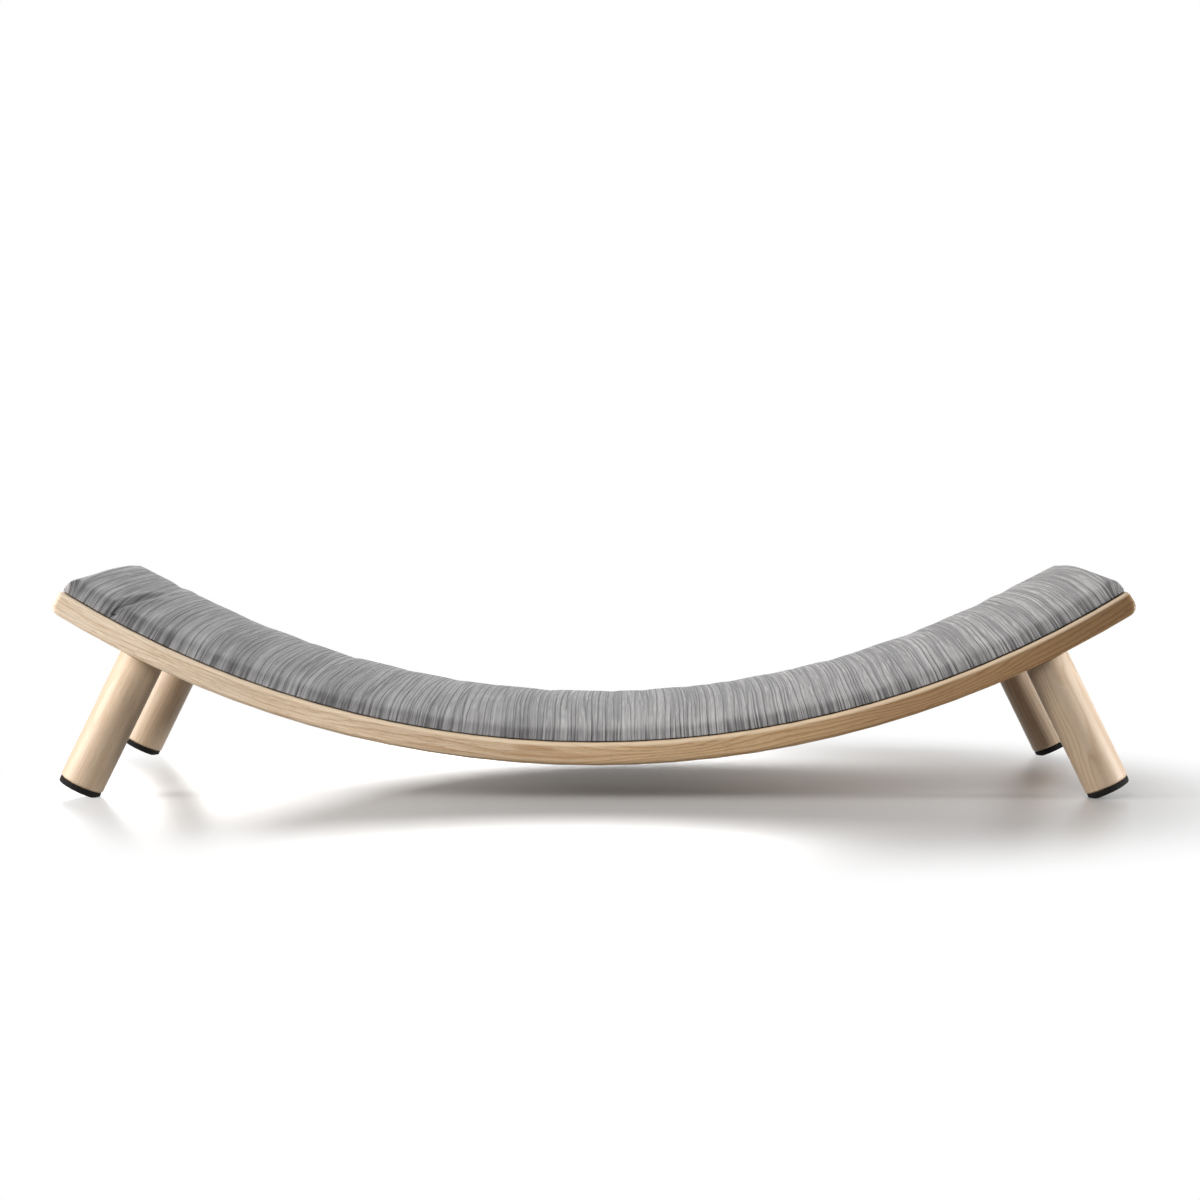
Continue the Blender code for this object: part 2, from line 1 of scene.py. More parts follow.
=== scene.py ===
# %% [markdown]
# # A bent oak pet bed with a striped pad
# This notebook dresses a finished model of a low pet bed. The model gives every piece its true
# size and place, so nothing here moves it. What is added is what a photograph would show: the
# oak's grain, the pad's woven cover with its soft folds, the rubber, the steel and the light.

# %% Load the model
import json
import math

import bmesh
import bpy
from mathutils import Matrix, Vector, noise


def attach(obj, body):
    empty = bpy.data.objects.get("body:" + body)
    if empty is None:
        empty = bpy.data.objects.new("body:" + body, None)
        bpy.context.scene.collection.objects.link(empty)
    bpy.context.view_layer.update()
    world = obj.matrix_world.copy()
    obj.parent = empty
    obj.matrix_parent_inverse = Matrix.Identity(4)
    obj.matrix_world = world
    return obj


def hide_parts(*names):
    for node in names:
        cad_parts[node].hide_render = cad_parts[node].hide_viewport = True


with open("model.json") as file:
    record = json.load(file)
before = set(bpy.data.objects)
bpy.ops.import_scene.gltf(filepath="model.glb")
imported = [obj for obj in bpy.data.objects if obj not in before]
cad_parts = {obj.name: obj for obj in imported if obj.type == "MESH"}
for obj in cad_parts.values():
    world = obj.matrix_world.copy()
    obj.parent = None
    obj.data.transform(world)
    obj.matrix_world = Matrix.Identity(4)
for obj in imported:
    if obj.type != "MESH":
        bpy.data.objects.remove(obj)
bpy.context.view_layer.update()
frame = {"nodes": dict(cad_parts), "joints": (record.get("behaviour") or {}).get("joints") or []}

# %% [markdown]
# ## Sizes that the bend is worked out from
# The oak board is an arc of a circle about a level axis that runs front to rear. A flat shape
# could be bent by a Simple Deform modifier, but then only the modifier knows where a point ends
# up. Whatever lies on the board is easiest to think of flat, as a length along the board, a place
# across it and a height over it, so one function bends such a point onto the arc. The zip in the
# pad's base follows the same arc, and its joint in the model tells how high the axis lies.

# %% The bend
MM = 0.001
SEAT_RADIUS = 702 * MM
ZIP_JOINT = next(joint for joint in frame["joints"] if joint["name"] == "zip_run")
ARC_HEIGHT = ZIP_JOINT["pos_m"][2]
ZIP_ACROSS = ZIP_JOINT["pos_m"][1]


def on_seat(along, across, height):
    turn = along / SEAT_RADIUS
    reach = SEAT_RADIUS - height
    return Vector((reach * math.sin(turn), across, ARC_HEIGHT - reach * math.cos(turn)))


print("the board's top is at", round(on_seat(0, 0, 0).z / MM, 1), "mm in the middle")

# %% [markdown]
# ## The camera
# The photograph is taken with a long lens from the front, a little above the seat, so both ends
# look alike and the top of the pad is seen only at a grazing angle. A camera could be turned by
# eye until it fits. Here its place, turn and focal length are numbers that were fitted to points
# of the bed, and the lens follows for a 36 mm sensor across a square picture.

# %% Camera
PICTURE = 1200                            # pixels
FOCAL_PIXELS = 3440
SENSOR_MM = 36
CAMERA_PLACE = (0.0204, -2.5658, 0.2654)  # metres, from the bed's middle on the floor
LOOKS_DOWN, TURNS_LEFT = 3.005, 0.379     # degrees
CLIP_NEAR, CLIP_FAR = 0.05, 200           # metres
camera_data = bpy.data.cameras.new("camera")
camera_data.sensor_width = SENSOR_MM
camera_data.lens = SENSOR_MM * FOCAL_PIXELS / PICTURE
camera_data.clip_start = CLIP_NEAR
camera_data.clip_end = CLIP_FAR
camera = bpy.data.objects.new("camera", camera_data)
camera.location = CAMERA_PLACE
camera.rotation_euler = (math.radians(90 - LOOKS_DOWN), 0, math.radians(TURNS_LEFT))
bpy.context.scene.collection.objects.link(camera)
bpy.context.scene.camera = camera
print("lens", round(camera_data.lens, 1), "mm")

# %% [markdown]
# ## Helpers for materials and meshes
# Colours are written as the sRGB hex values that a colour picker shows, and one function turns
# them into the linear values that the shaders work in. Nodes could be wired in the shader editor,
# but a recipe in code can be read and changed in one place. So another function adds a node, sets
# its values and links its inputs, and a material reads from top to bottom. A third makes an
# object of a finished mesh.

# %% Colour, node and mesh helpers


def linear(hex_colour):
    """sRGB hex, as a colour picker shows it, to linear red, green, blue and alpha."""
    channels = [int(hex_colour[place:place + 2], 16) / 255 for place in (1, 3, 5)]
    curve = [c / 12.92 if c <= 0.04045 else ((c + 0.055) / 1.055) ** 2.4 for c in channels]
    return (*curve, 1.0)


def add_node(tree, kind, settings=(), links=()):
    """A setting is one of the node's own, the value of an input, or a colour ramp's stops."""
    node = tree.nodes.new(kind)
    for key, value in dict(settings).items():
        if key == "stops":
            elements = node.color_ramp.elements
            while len(elements) < len(value):
                elements.new(0.5)
            for element, (place, colour) in zip(elements, value):
                element.position = place
                element.color = linear(colour)
        elif isinstance(key, str) and hasattr(node, key):
            setattr(node, key, value)
        else:
            node.inputs[key].default_value = value
    for key, source in dict(links).items():
        tree.links.new(source, node.inputs[key])
    return node


def new_material(name):
    material = bpy.data.materials.new(name)
    material.use_nodes = True
    tree = material.node_tree
    return material, tree, tree.nodes["Principled BSDF"]


def add_object(name, bm, material):
    """Make an object with one material of a finished bmesh."""
    mesh = bpy.data.meshes.new(name)
    bm.to_mesh(mesh)
    bm.free()
    mesh.materials.append(material)
    obj = bpy.data.objects.new(name, mesh)
    bpy.context.scene.collection.objects.link(obj)
    return obj


print("#808080 is", round(linear("#808080")[0], 3), "in linear light")

# %% [markdown]
# ## Places on the bed, in millimetres
# Wood is cut flat and then bent, and cloth is cut flat and then laid on the bend, so their grain
# and their stripes follow the arc. UV maps could carry that, one for each piece. This node group
# needs none: it turns a point of the object into its place on the flat piece, in millimetres
# along, across, and down from the board's top. A leg stands square to the arc, so for a leg the
# same third number runs along the dowel.

# %% Flat coordinates
flat_group = bpy.data.node_groups.new("flat_place_mm", "ShaderNodeTree")
flat_group.interface.new_socket("Place", in_out="OUTPUT", socket_type="NodeSocketVector")
point = add_node(flat_group, "ShaderNodeTexCoord")
axes = add_node(flat_group, "ShaderNodeSeparateXYZ", links={0: point.outputs["Object"]})
drop = add_node(flat_group, "ShaderNodeMath", {"operation": "SUBTRACT", 0: ARC_HEIGHT},
                {1: axes.outputs["Z"]})
angle = add_node(flat_group, "ShaderNodeMath", {"operation": "ARCTAN2"},
                 {0: axes.outputs["X"], 1: drop.outputs[0]})
along = add_node(flat_group, "ShaderNodeMath", {"operation": "MULTIPLY", 1: SEAT_RADIUS / MM},
                 {0: angle.outputs[0]})
across = add_node(flat_group, "ShaderNodeMath", {"operation": "MULTIPLY", 1: 1 / MM},
                  {0: axes.outputs["Y"]})
arm = add_node(flat_group, "ShaderNodeCombineXYZ", links={"X": axes.outputs["X"],
                                                        "Y": drop.outputs[0]})
reach = add_node(flat_group, "ShaderNodeVectorMath", {"operation": "LENGTH"},
                 {0: arm.outputs[0]})
depth = add_node(flat_group, "ShaderNodeMath",
                 {"operation": "MULTIPLY_ADD", 1: 1 / MM, 2: -SEAT_RADIUS / MM},
                 {0: reach.outputs["Value"]})
place = add_node(flat_group, "ShaderNodeCombineXYZ",
                 links={"X": along.outputs[0], "Y": across.outputs[0], "Z": depth.outputs[0]})
add_node(flat_group, "NodeGroupOutput", links={"Place": place.outputs[0]})
print("flat coordinates: along, across, down, in mm")

# %% [markdown]
# ## Streaks of a real size
# Wood fibres, pores, yarns and the skin of rubber are all small uneven marks. Pictures of them
# could be laid on, but a picture repeats and has a fixed size. All are drawn with one noise here,
# stretched to a size in millimetres along, across and down. A seed moves it, so that two don't
# coincide.

# %% Noise by the millimetre


def flat_place(tree):
    return add_node(tree, "ShaderNodeGroup", {"node_tree": flat_group}).outputs["Place"]


def streaks(tree, source, size, detail=3.0, roughness=0.5, seed=0.0):
    """Noise from 0 to 1 whose blobs have the given size in millimetres."""
    scaled = add_node(tree, "ShaderNodeVectorMath", {"operation": "DIVIDE", 1: size}, {0: source})
    moved = add_node(tree, "ShaderNodeVectorMath", {"operation": "ADD", 1: (seed, seed, seed)},
                     {0: scaled.outputs[0]})
    return add_node(tree, "ShaderNodeTexNoise",
                    {"Scale": 1.0, "Detail": detail, "Roughness": roughness},
                    {"Vector": moved.outputs[0]}).outputs["Fac"]


print("one noise for grain, yarns and skins")

# %% [markdown]
# ## Oak: year rings
# The board is oak veneers glued round a mould, and the legs are turned oak dowels. Oak is ring-
# porous: each year leaves a band of open pores that looks darker. A Wave texture could draw such
# bands on the surface, but real ones run through the wood. So the rings are cylinders about a
# pith, and cutting them with the real shapes gives lines on a long edge, arches on a face and
# arcs on an end. A slow warp bends them, as a trunk is never straight.

# %% Year rings
# Sizes are in mm, the first with the grain and the second across it.
RING_MM = 3.5
WARP_MM, WARP_RINGS = (170.0, 30.0), 10.0
PITH_LEAN = 0.022                            # the pith's slope against the piece


def grown(grain_axis, with_grain, across_grain):
    """A size for each of the three axes."""
    return [with_grain if axis == grain_axis else across_grain for axis in range(3)]


def year_share(tree, source, parts, pith, grain_axis):
    """How far through its year a point lies, from 0 to 1."""
    sides = []
    others = [axis for axis in range(3) if axis != grain_axis]
    for axis, centre in zip(others, pith):
        side = parts.outputs[axis]
        if grain_axis == 2:
            # All four legs share one pith, by their distances from the bed's middle.
            side = add_node(tree, "ShaderNodeMath", {"operation": "ABSOLUTE"},
                            {0: side}).outputs[0]
        sides.append(add_node(tree, "ShaderNodeMath", {"operation": "SUBTRACT", 1: centre},
                              {0: side}).outputs[0])
    lean = add_node(tree, "ShaderNodeMath", {"operation": "MULTIPLY_ADD", 1: PITH_LEAN},
                    {0: parts.outputs[grain_axis], 2: sides[1]})
    arm_to_pith = add_node(tree, "ShaderNodeCombineXYZ",
                           links={"X": sides[0], "Y": lean.outputs[0]})
    radius = add_node(tree, "ShaderNodeVectorMath", {"operation": "LENGTH"},
                      {0: arm_to_pith.outputs[0]})
    rings = add_node(tree, "ShaderNodeMath", {"operation": "DIVIDE", 1: RING_MM},
                     {0: radius.outputs["Value"]})
    warp = streaks(tree, source, grown(grain_axis, *WARP_MM), detail=2.0)
    years = add_node(tree, "ShaderNodeMath", {"operation": "MULTIPLY_ADD", 1: WARP_RINGS},
                     {0: warp, 2: rings.outputs[0]})
    return add_node(tree, "ShaderNodeMath", {"operation": "FRACT"},
                    {0: years.outputs[0]}).outputs[0]


print("oak rings", RING_MM, "mm apart")

# %% [markdown]
# ## Oak: fibres, pores and oil
# Over the rings lie fibres, a broad cloudiness and pores, all drawn out along the grain. One
# detailed noise could stand for all three, but each has its own size, so they are three layers,
# mixed from the widest to the finest. A single fibre is far finer than a pixel, so fibres are
# drawn as bundles 0.55 mm wide. The oiled surface has a soft sheen that changes from fibre to
# fibre, and the pores lie a little below it.

# %% Fibres, pores and oil
FIBRE_MM = (26.0, 0.55)
CLOUD_MM, CLOUD_TONES = (120.0, 16.0), (0.90, 1.07)
PORE_MM, PORE_LEVELS, PORE_COLOUR = (7.0, 0.34), (0.60, 0.68), "#8a6a45"
SHARES_AT_MM, FIBRE_SHARES = (-300.0, 250.0), (0.66, 0.30)   # rings show most at the right
OAK_IOR, OIL_ROUGHNESS, WAX_ROUGHNESS = 1.5, (0.46, 0.60), 0.6
GRAIN_DEPTH_MM, GRAIN_STRENGTH = 0.15, 0.25


def oak(name, pith, grain_axis, light, middle, dark, pore_depth, tone_and_painted_light=None, wax=0.0):
    """pith: the two places in mm, across the grain, that the rings go round."""
    material, tree, shader = new_material(name)
    source = flat_place(tree)
    parts = add_node(tree, "ShaderNodeSeparateXYZ", links={0: source})
    year = year_share(tree, source, parts, pith, grain_axis)
    fibre = streaks(tree, source, grown(grain_axis, *FIBRE_MM), detail=4.0, roughness=0.6)
    band = add_node(tree, "ShaderNodeValToRGB",
                    {"stops": [(0.0, middle), (0.16, dark), (0.42, middle), (1.0, light)]},
                    {"Fac": year})
    fibres = add_node(tree, "ShaderNodeValToRGB",
                      {"stops": [(0.30, dark), (0.52, middle), (0.72, light)]}, {"Fac": fibre})
    fibre_share = add_node(tree, "ShaderNodeMapRange",
                           {"From Min": SHARES_AT_MM[0], "From Max": SHARES_AT_MM[1],
                            "To Min": FIBRE_SHARES[0], "To Max": FIBRE_SHARES[1]},
                           {"Value": parts.outputs[0]})
    grain = add_node(tree, "ShaderNodeMix", {"data_type": "RGBA"},
                     {"Factor": fibre_share.outputs[0], "A": band.outputs["Color"],
                      "B": fibres.outputs["Color"]})
    cloud = streaks(tree, source, grown(grain_axis, *CLOUD_MM), detail=2.0, seed=4.0)
    clouds = add_node(tree, "ShaderNodeMapRange",
                      {"From Min": 0.3, "From Max": 0.7,
                       "To Min": CLOUD_TONES[0], "To Max": CLOUD_TONES[1]}, {"Value": cloud})
    toned = add_node(tree, "ShaderNodeVectorMath", {"operation": "SCALE"},
                     {0: grain.outputs["Result"], "Scale": clouds.outputs[0]})
    pore = streaks(tree, source, grown(grain_axis, *PORE_MM), detail=1.0, seed=9.0)
    pores = add_node(tree, "ShaderNodeMapRange",
                     {"From Min": PORE_LEVELS[0], "From Max": PORE_LEVELS[1],
                      "To Min": 0.0, "To Max": pore_depth}, {"Value": pore})
    pitted = add_node(tree, "ShaderNodeMix", {"data_type": "RGBA", "B": linear(PORE_COLOUR)},
                      {"Factor": pores.outputs[0], "A": toned.outputs[0]})
    colour = pitted.outputs["Result"]
    if tone_and_painted_light:
        colour = tone_and_painted_light(tree, parts, colour)
    tree.links.new(colour, shader.inputs["Base Color"])
    shader.inputs["IOR"].default_value = OAK_IOR
    polish = add_node(tree, "ShaderNodeMapRange",
                      {"To Min": OIL_ROUGHNESS[0], "To Max": OIL_ROUGHNESS[1]},
                      {"Value": fibre})
    tree.links.new(polish.outputs[0], shader.inputs["Roughness"])
    shader.inputs["Coat Weight"].default_value = wax
    shader.inputs["Coat Roughness"].default_value = WAX_ROUGHNESS
    relief = add_node(tree, "ShaderNodeMath", {"operation": "SUBTRACT"},
                      {0: fibre, 1: pores.outputs[0]})
    bump = add_node(tree, "ShaderNodeBump",
                    {"Strength": GRAIN_STRENGTH, "Distance": GRAIN_DEPTH_MM * MM},
                    {"Height": relief.outputs[0]})
    tree.links.new(bump.outputs["Normal"], shader.inputs["Normal"])
    return material


print("oak pores", PORE_MM[0], "mm long")

# %% [markdown]
# ## The board's and the legs' looks
# The board's veneer is pale at its left end and brown at its right, partly as its own tone and
# partly as painted shade for the light that fades away from the left end. Two materials could
# meet there, but a tone that runs along the board and multiplies its colour leaves the grain
# unbroken.
# Its two long top edges are eased, and their first three millimetres are painted lighter: a
# painted highlight where the rounded edge catches light from above. The legs are cut from other,
# even stock, with a thin clear coat of matte wax over the oil.

# %% Board oak and dowel oak
BOARD_HALF_MM = 380.0
# Tones along the board: partly the veneer's own, partly painted shade that darkens its right end.
BOARD_TONES_AND_SHADE = [(0.0, "#ffffff"), (0.25, "#f6efe6"), (0.5, "#e3d1b7"), (0.65, "#d4c0a2"),
               (0.78, "#b9a07f"), (1.0, "#856c47")]
# Painted highlight: the eased top edges are lightened over their first 3 mm, where they catch
# light.
HIGHLIGHT_ACROSS_MM, HIGHLIGHT_DOWN_MM = (174.0, 178.0), (1.6, 3.0)
HIGHLIGHT_SHARE, PAINTED_HIGHLIGHT_COLOUR = 0.62, "#f0dcc0"


def board_tone_and_painted_light(tree, parts, colour):
    """Brown the board to the right, partly as painted shade; paint highlights on its eased edges.
    """
    share = add_node(tree, "ShaderNodeMapRange",
                     {"From Min": -BOARD_HALF_MM, "From Max": BOARD_HALF_MM},
                     {"Value": parts.outputs[0]})
    # Painted shade in part: this tone darkens the board towards its right end.
    tone = add_node(tree, "ShaderNodeValToRGB", {"stops": BOARD_TONES_AND_SHADE},
                    {"Fac": share.outputs[0]})
    tinted_and_shaded = add_node(tree, "ShaderNodeMix",
                      {"data_type": "RGBA", "blend_type": "MULTIPLY", "Factor": 1.0},
                      {"A": colour, "B": tone.outputs["Color"]})
    off_middle = add_node(tree, "ShaderNodeMath", {"operation": "ABSOLUTE"},
                          {0: parts.outputs[1]})
    highlight_near_edge = add_node(tree, "ShaderNodeMapRange",
                         {"From Min": HIGHLIGHT_ACROSS_MM[0], "From Max": HIGHLIGHT_ACROSS_MM[1],
                          "To Max": HIGHLIGHT_SHARE}, {"Value": off_middle.outputs[0]})
    # Painted highlight on the eased top edges, mixed in after the tone.
    painted_edge_highlight = add_node(tree, "ShaderNodeMapRange",
                     {"From Min": HIGHLIGHT_DOWN_MM[0], "From Max": HIGHLIGHT_DOWN_MM[1], "To Max": 0.0},
                     {"Value": parts.outputs[2], "To Min": highlight_near_edge.outputs[0]})
    return add_node(tree, "ShaderNodeMix", {"data_type": "RGBA", "B": linear(PAINTED_HIGHLIGHT_COLOUR)},
                    {"Factor": painted_edge_highlight.outputs[0],
                     "A": tinted_and_shaded.outputs["Result"]}).outputs["Result"]


# Bent oak veneer, and turned oak dowel with matte hardwax.
oak_board = oak("oiled_bent_oak", (-172.0, -64.0), 0, "#f7ebdc", "#ead7bf", "#bd9a73", 0.42,
                tone_and_painted_light=board_tone_and_painted_light)
oak_dowel = oak("oiled_turned_oak", (309.0, 147.0), 2, "#cab49b", "#c3ab8f", "#ae9070", 0.25,
                wax=1.0)
print("2 oaks: a board with", len(BOARD_TONES_AND_SHADE), "tones, and dowels")

# %% [markdown]
# ## Rubber, steel and tapes
# The feet are moulded black rubber with a faintly grainy, matte skin that mirrors little. The
# T-nuts, bolts, screws and zip parts are zinc-plated steel: soft grey, with a mottled brightness
# from the plating bath. The hook tape is stiff black nylon with rows of hooks 1.2 mm apart, and
# the loop tape is a fuzzy knit of the same colour. Hooks and loops could be tiny meshes or hair,
# but they show only when the pad is lifted. So each material has one grain of its real size,
# which gives the mottled colour, the uneven gloss and the bump.

# %% Rubber, steel and tape materials
GLOSS_SPREAD = 0.06
PLAIN_BUMP = 0.4


def plain(name, colour, roughness, grain_mm, bump_mm, metallic=0.0, ior=1.5, mottle=0.12,
          mirror=0.5):
    """A plain material with a mottled colour and a bump of one real size."""
    material, tree, shader = new_material(name)
    grain = streaks(tree, flat_place(tree), (grain_mm,) * 3, detail=3.0)
    shade = add_node(tree, "ShaderNodeMapRange",
                     {"From Min": 0.3, "From Max": 0.7, "To Min": 1 - mottle,
                      "To Max": 1 + mottle}, {"Value": grain})
    base = add_node(tree, "ShaderNodeVectorMath", {"operation": "SCALE", 0: linear(colour)[:3]},
                    {"Scale": shade.outputs[0]})
    tree.links.new(base.outputs[0], shader.inputs["Base Color"])
    gloss = add_node(tree, "ShaderNodeMapRange",
                     {"To Min": roughness - GLOSS_SPREAD, "To Max": roughness + GLOSS_SPREAD},
                     {"Value": grain})
    tree.links.new(gloss.outputs[0], shader.inputs["Roughness"])
    shader.inputs["Metallic"].default_value = metallic
    shader.inputs["Specular IOR Level"].default_value = mirror
    if not metallic:
        shader.inputs["IOR"].default_value = ior
    bump = add_node(tree, "ShaderNodeBump", {"Strength": PLAIN_BUMP, "Distance": bump_mm * MM},
                    {"Height": grain})
    tree.links.new(bump.outputs["Normal"], shader.inputs["Normal"])
    return material


# Natural rubber filled with carbon black, matte from its mould.
rubber = plain("moulded_black_rubber", "#0c0b0a", 0.82, 0.8, 0.06, ior=1.52, mirror=0.2)
# Steel plated with bright zinc.
steel = plain("zinc_plated_steel", "#b9bcc0", 0.34, 2.2, 0.02, metallic=1.0, mottle=0.06)
# Hook tape of nylon, loop tape of knitted nylon, zip tape of woven polyester.
hook_nylon = plain("hook_tape_nylon", "#2a2a2b", 0.70, 1.2, 0.50, ior=1.53, mottle=0.35)
loop_knit = plain("loop_tape_knit", "#333335", 0.92, 0.9, 0.35, ior=1.53, mottle=0.25)
zip_weave = plain("zip_tape_weave", "#3a3a3d", 0.80, 0.7, 0.12, ior=1.55, mottle=0.20)
print("5 plain materials")

# %% [markdown]
# ## Finishes for the model's own pieces
# The pieces that keep the model's shape could be finished one by one. Their names say what they
# are, so the start of a name picks the material, and no piece is forgotten. The feet's screws
# come before the feet, whose names start the same.

# %% Give each carried-over node its material
FINISHES = {
    "seat_board": oak_board, "foot_screw_": steel, "foot_": rubber,
    "hanger_bolt_": steel, "t_nut_": steel, "hook_strip_": hook_nylon,
    "loop_strip_": loop_knit, "zip_tape_": zip_weave, "zip_stop_": steel, "zip_slider": steel,
}
finished = 0
for node, obj in frame["nodes"].items():
    start = next((start for start in FINISHES if node.startswith(start)), None)
    if start:
        for slot in obj.material_slots:
            slot.material = FINISHES[start]
        finished += 1
print(finished, "of", len(frame["nodes"]), "nodes finished")

# %% [markdown]
# ## Turned legs
# The model's legs are dowels with 24 flat sides, which side light shows as stripes. Smooth
# shading alone would keep the corners in the outline, so each leg is turned again here from the
# same profile, as on a lathe. It has a small chamfer at both ends, a bore at the top for the
# hanger bolt and a pilot hole at the bottom for the foot's screw. It stands square to the board's
# arc, which is what splays the legs along the bed.

# %% Build the legs
LEG_ALONG, LEG_ACROSS = 321 * MM, 154 * MM
LEG_TOP = -16.3 * MM                   # just under the 16 mm board
LEG_STEPS = 72
# Radius and height in mm: up the bolt's bore, down the outside, and up the screw's pilot hole.
LEG_PROFILE_MM = ((0, -29.8), (4.3, -29.8), (4.3, 0), (14.8, 0), (16, -1.2), (16, -98.0),
                  (14.8, -99.2), (2.1, -99.2), (2.1, -81.2), (0, -81.2))
SHARP_EDGE = math.radians(30)


def turned_leg(name, along, across):
    """The profile turned about a line that stands square to the seat at the given place."""
    lean = along / SEAT_RADIUS
    aside = Vector((math.cos(lean), 0, math.sin(lean)))
    bm = bmesh.new()
    rings = []
    for radius, height in LEG_PROFILE_MM:
        middle = on_seat(along, across, LEG_TOP + height * MM)
        steps = LEG_STEPS if radius else 1
        angles = [math.tau * step / steps for step in range(steps)]
        rings.append([bm.verts.new(middle + radius * MM * (aside * math.cos(angle)
                                                            + Vector((0, math.sin(angle), 0))))
                      for angle in angles])
    for upper, lower in zip(rings, rings[1:]):
        for step in range(LEG_STEPS):
            after = (step + 1) % LEG_STEPS
            corners = [upper[step % len(upper)], upper[after % len(upper)],
                       lower[after % len(lower)], lower[step % len(lower)]]
            bm.faces.new(list(dict.fromkeys(corners)))
    bmesh.ops.recalc_face_normals(bm, faces=bm.faces)
    leg = add_object(name, bm, oak_dowel)
    leg.data.shade_smooth()
    leg.data.set_sharp_from_angle(angle=SHARP_EDGE)
    return leg


for row, across in (("front", -LEG_ACROSS), ("rear", LEG_ACROSS)):
    for end, along in (("left", -LEG_ALONG), ("right", LEG_ALONG)):
        leg = turned_leg(f"turned_leg_{row}_{end}", along, across)
        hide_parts(f"leg_{row}_{end}")
        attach(leg, "frame")
print("4 legs,", len(leg.data.polygons), "faces each")

# %% [markdown]
# ## The striped cloth: where a thread lies
# The cover is one cloth that runs over the rounded edges and down to the wood, so its lines have
# to go round too. A UV map of the cut cloth could do that. The flat place does it without one on
# the top and the long sides. On the two ends, where the cloth turns down, the depth below the
# crest is added to the place along. A slow sway keeps the lines from being ruler-straight,
# because a sewn cover is never pulled quite evenly.

# %% Places on the cloth
END_TURN_MM = (379.0, 387.0)
END_CREST_MM = 12.0
SWAY_SIZE_MM, SWAY_MM = (200.0, 260.0, 120.0), 14.0
striped_cloth, tree, shader = new_material("slub_striped_weave")
source = flat_place(tree)
parts = add_node(tree, "ShaderNodeSeparateXYZ", links={0: source})
side = add_node(tree, "ShaderNodeMath", {"operation": "SIGN"}, {0: parts.outputs[0]})
aside = add_node(tree, "ShaderNodeMath", {"operation": "ABSOLUTE"}, {0: parts.outputs[0]})
at_end = add_node(tree, "ShaderNodeMapRange",
                  {"From Min": END_TURN_MM[0], "From Max": END_TURN_MM[1]},
                  {"Value": aside.outputs[0]})
below_crest = add_node(tree, "ShaderNodeMath", {"operation": "ADD", 1: END_CREST_MM},
                       {0: parts.outputs[2]})
over_end = add_node(tree, "ShaderNodeMath", {"operation": "MULTIPLY"},
                    {0: at_end.outputs[0], 1: below_crest.outputs[0]})
along_cloth = add_node(tree, "ShaderNodeMath", {"operation": "MULTIPLY_ADD"},
                       {0: over_end.outputs[0], 1: side.outputs[0], 2: parts.outputs[0]})
sway = streaks(tree, source, SWAY_SIZE_MM, detail=0.0, seed=7.0)
swayed = add_node(tree, "ShaderNodeMath", {"operation": "MULTIPLY_ADD", 1: SWAY_MM},
                  {0: sway, 2: along_cloth.outputs[0]})
on_cloth = add_node(tree, "ShaderNodeCombineXYZ",
                    links={"X": swayed.outputs[0], "Y": parts.outputs[1],
                           "Z": parts.outputs[2]})
woven = on_cloth.outputs[0]
print("the cloth turns down", END_TURN_MM[0], "mm from the middle")

# %% [markdown]
# ## The striped cloth: ribs, yarns and slubs
# The cloth is woven in mid greys with uneven yarns that run from front to rear. A regular wave
# would look like corduroy, so five noises give its lines: ribs with narrow valleys between them,
# which are darkened with painted shade, yarns that change their tone along their length, threads,
# short light slubs where a yarn is thick, and a broad unevenness of the dye. The real threads are
# about 0.6 mm, finer than one pixel of the picture, so yarns and threads are drawn coarser, at
# 1.6 and 1 mm.

# %% Ribs, yarns and slubs
# Sizes in mm along the bed, across it (with the yarn) and down.
rib = streaks(tree, woven, (5.4, 900.0, 200.0), detail=1.0, roughness=0.45, seed=2.0)
yarn = streaks(tree, woven, (1.6, 420.0, 90.0), detail=1.0, roughness=0.6, seed=3.0)
thread = streaks(tree, woven, (1.0, 45.0, 20.0), detail=1.0, roughness=0.5, seed=5.0)
slub = streaks(tree, woven, (1.5, 60.0, 20.0), detail=1.0, roughness=0.5, seed=6.0)
broad = streaks(tree, woven, (24.0, 400.0, 90.0), detail=2.0, seed=1.0)
TONE_SHARES = ((yarn, 0.50), (thread, 0.24), (broad, 0.26))
VALLEY_WIDTH = 0.06                      # share of the noise's range on each side of a valley
off_valley = add_node(tree, "ShaderNodeMath", {"operation": "SUBTRACT", 1: 0.5}, {0: rib})
from_valley = add_node(tree, "ShaderNodeMath", {"operation": "ABSOLUTE"},
                       {0: off_valley.outputs[0]})
valley = add_node(tree, "ShaderNodeMapRange",
                  {"interpolation_type": "SMOOTHSTEP", "From Min": 0.0,
                   "From Max": VALLEY_WIDTH, "To Min": 1.0, "To Max": 0.0},
                  {"Value": from_valley.outputs[0]})
tone = None
for noise_value, share in TONE_SHARES:
    tone = add_node(tree, "ShaderNodeMath", {"operation": "MULTIPLY_ADD", 1: share, 2: 0.0},
                    {0: noise_value, **({2: tone} if tone else {})}).outputs[0]
print("ribs about 5 mm apart")

# %% [markdown]
# ## The striped cloth: greys and surface
# The tone runs through four greys and slubs lighten it, while painted shade darkens the valleys
# between the ribs. Yarns scatter light widely, so the cloth is rough. Their loose fibres could be
# real hair, but from here only the soft light shows that fibres catch at a grazing angle, and a
# little sheen gives that. The ribs stand 0.8 mm over their valleys.

# %% Greys and surface
GREYS = [(0.38, "#605f60"), (0.47, "#7f7e7f"), (0.55, "#979697"), (0.66, "#b9b8b9")]
SLUB_LEVELS, SLUB_SHARE, SLUB_GREY = (0.60, 0.70), 0.35, "#cacaca"
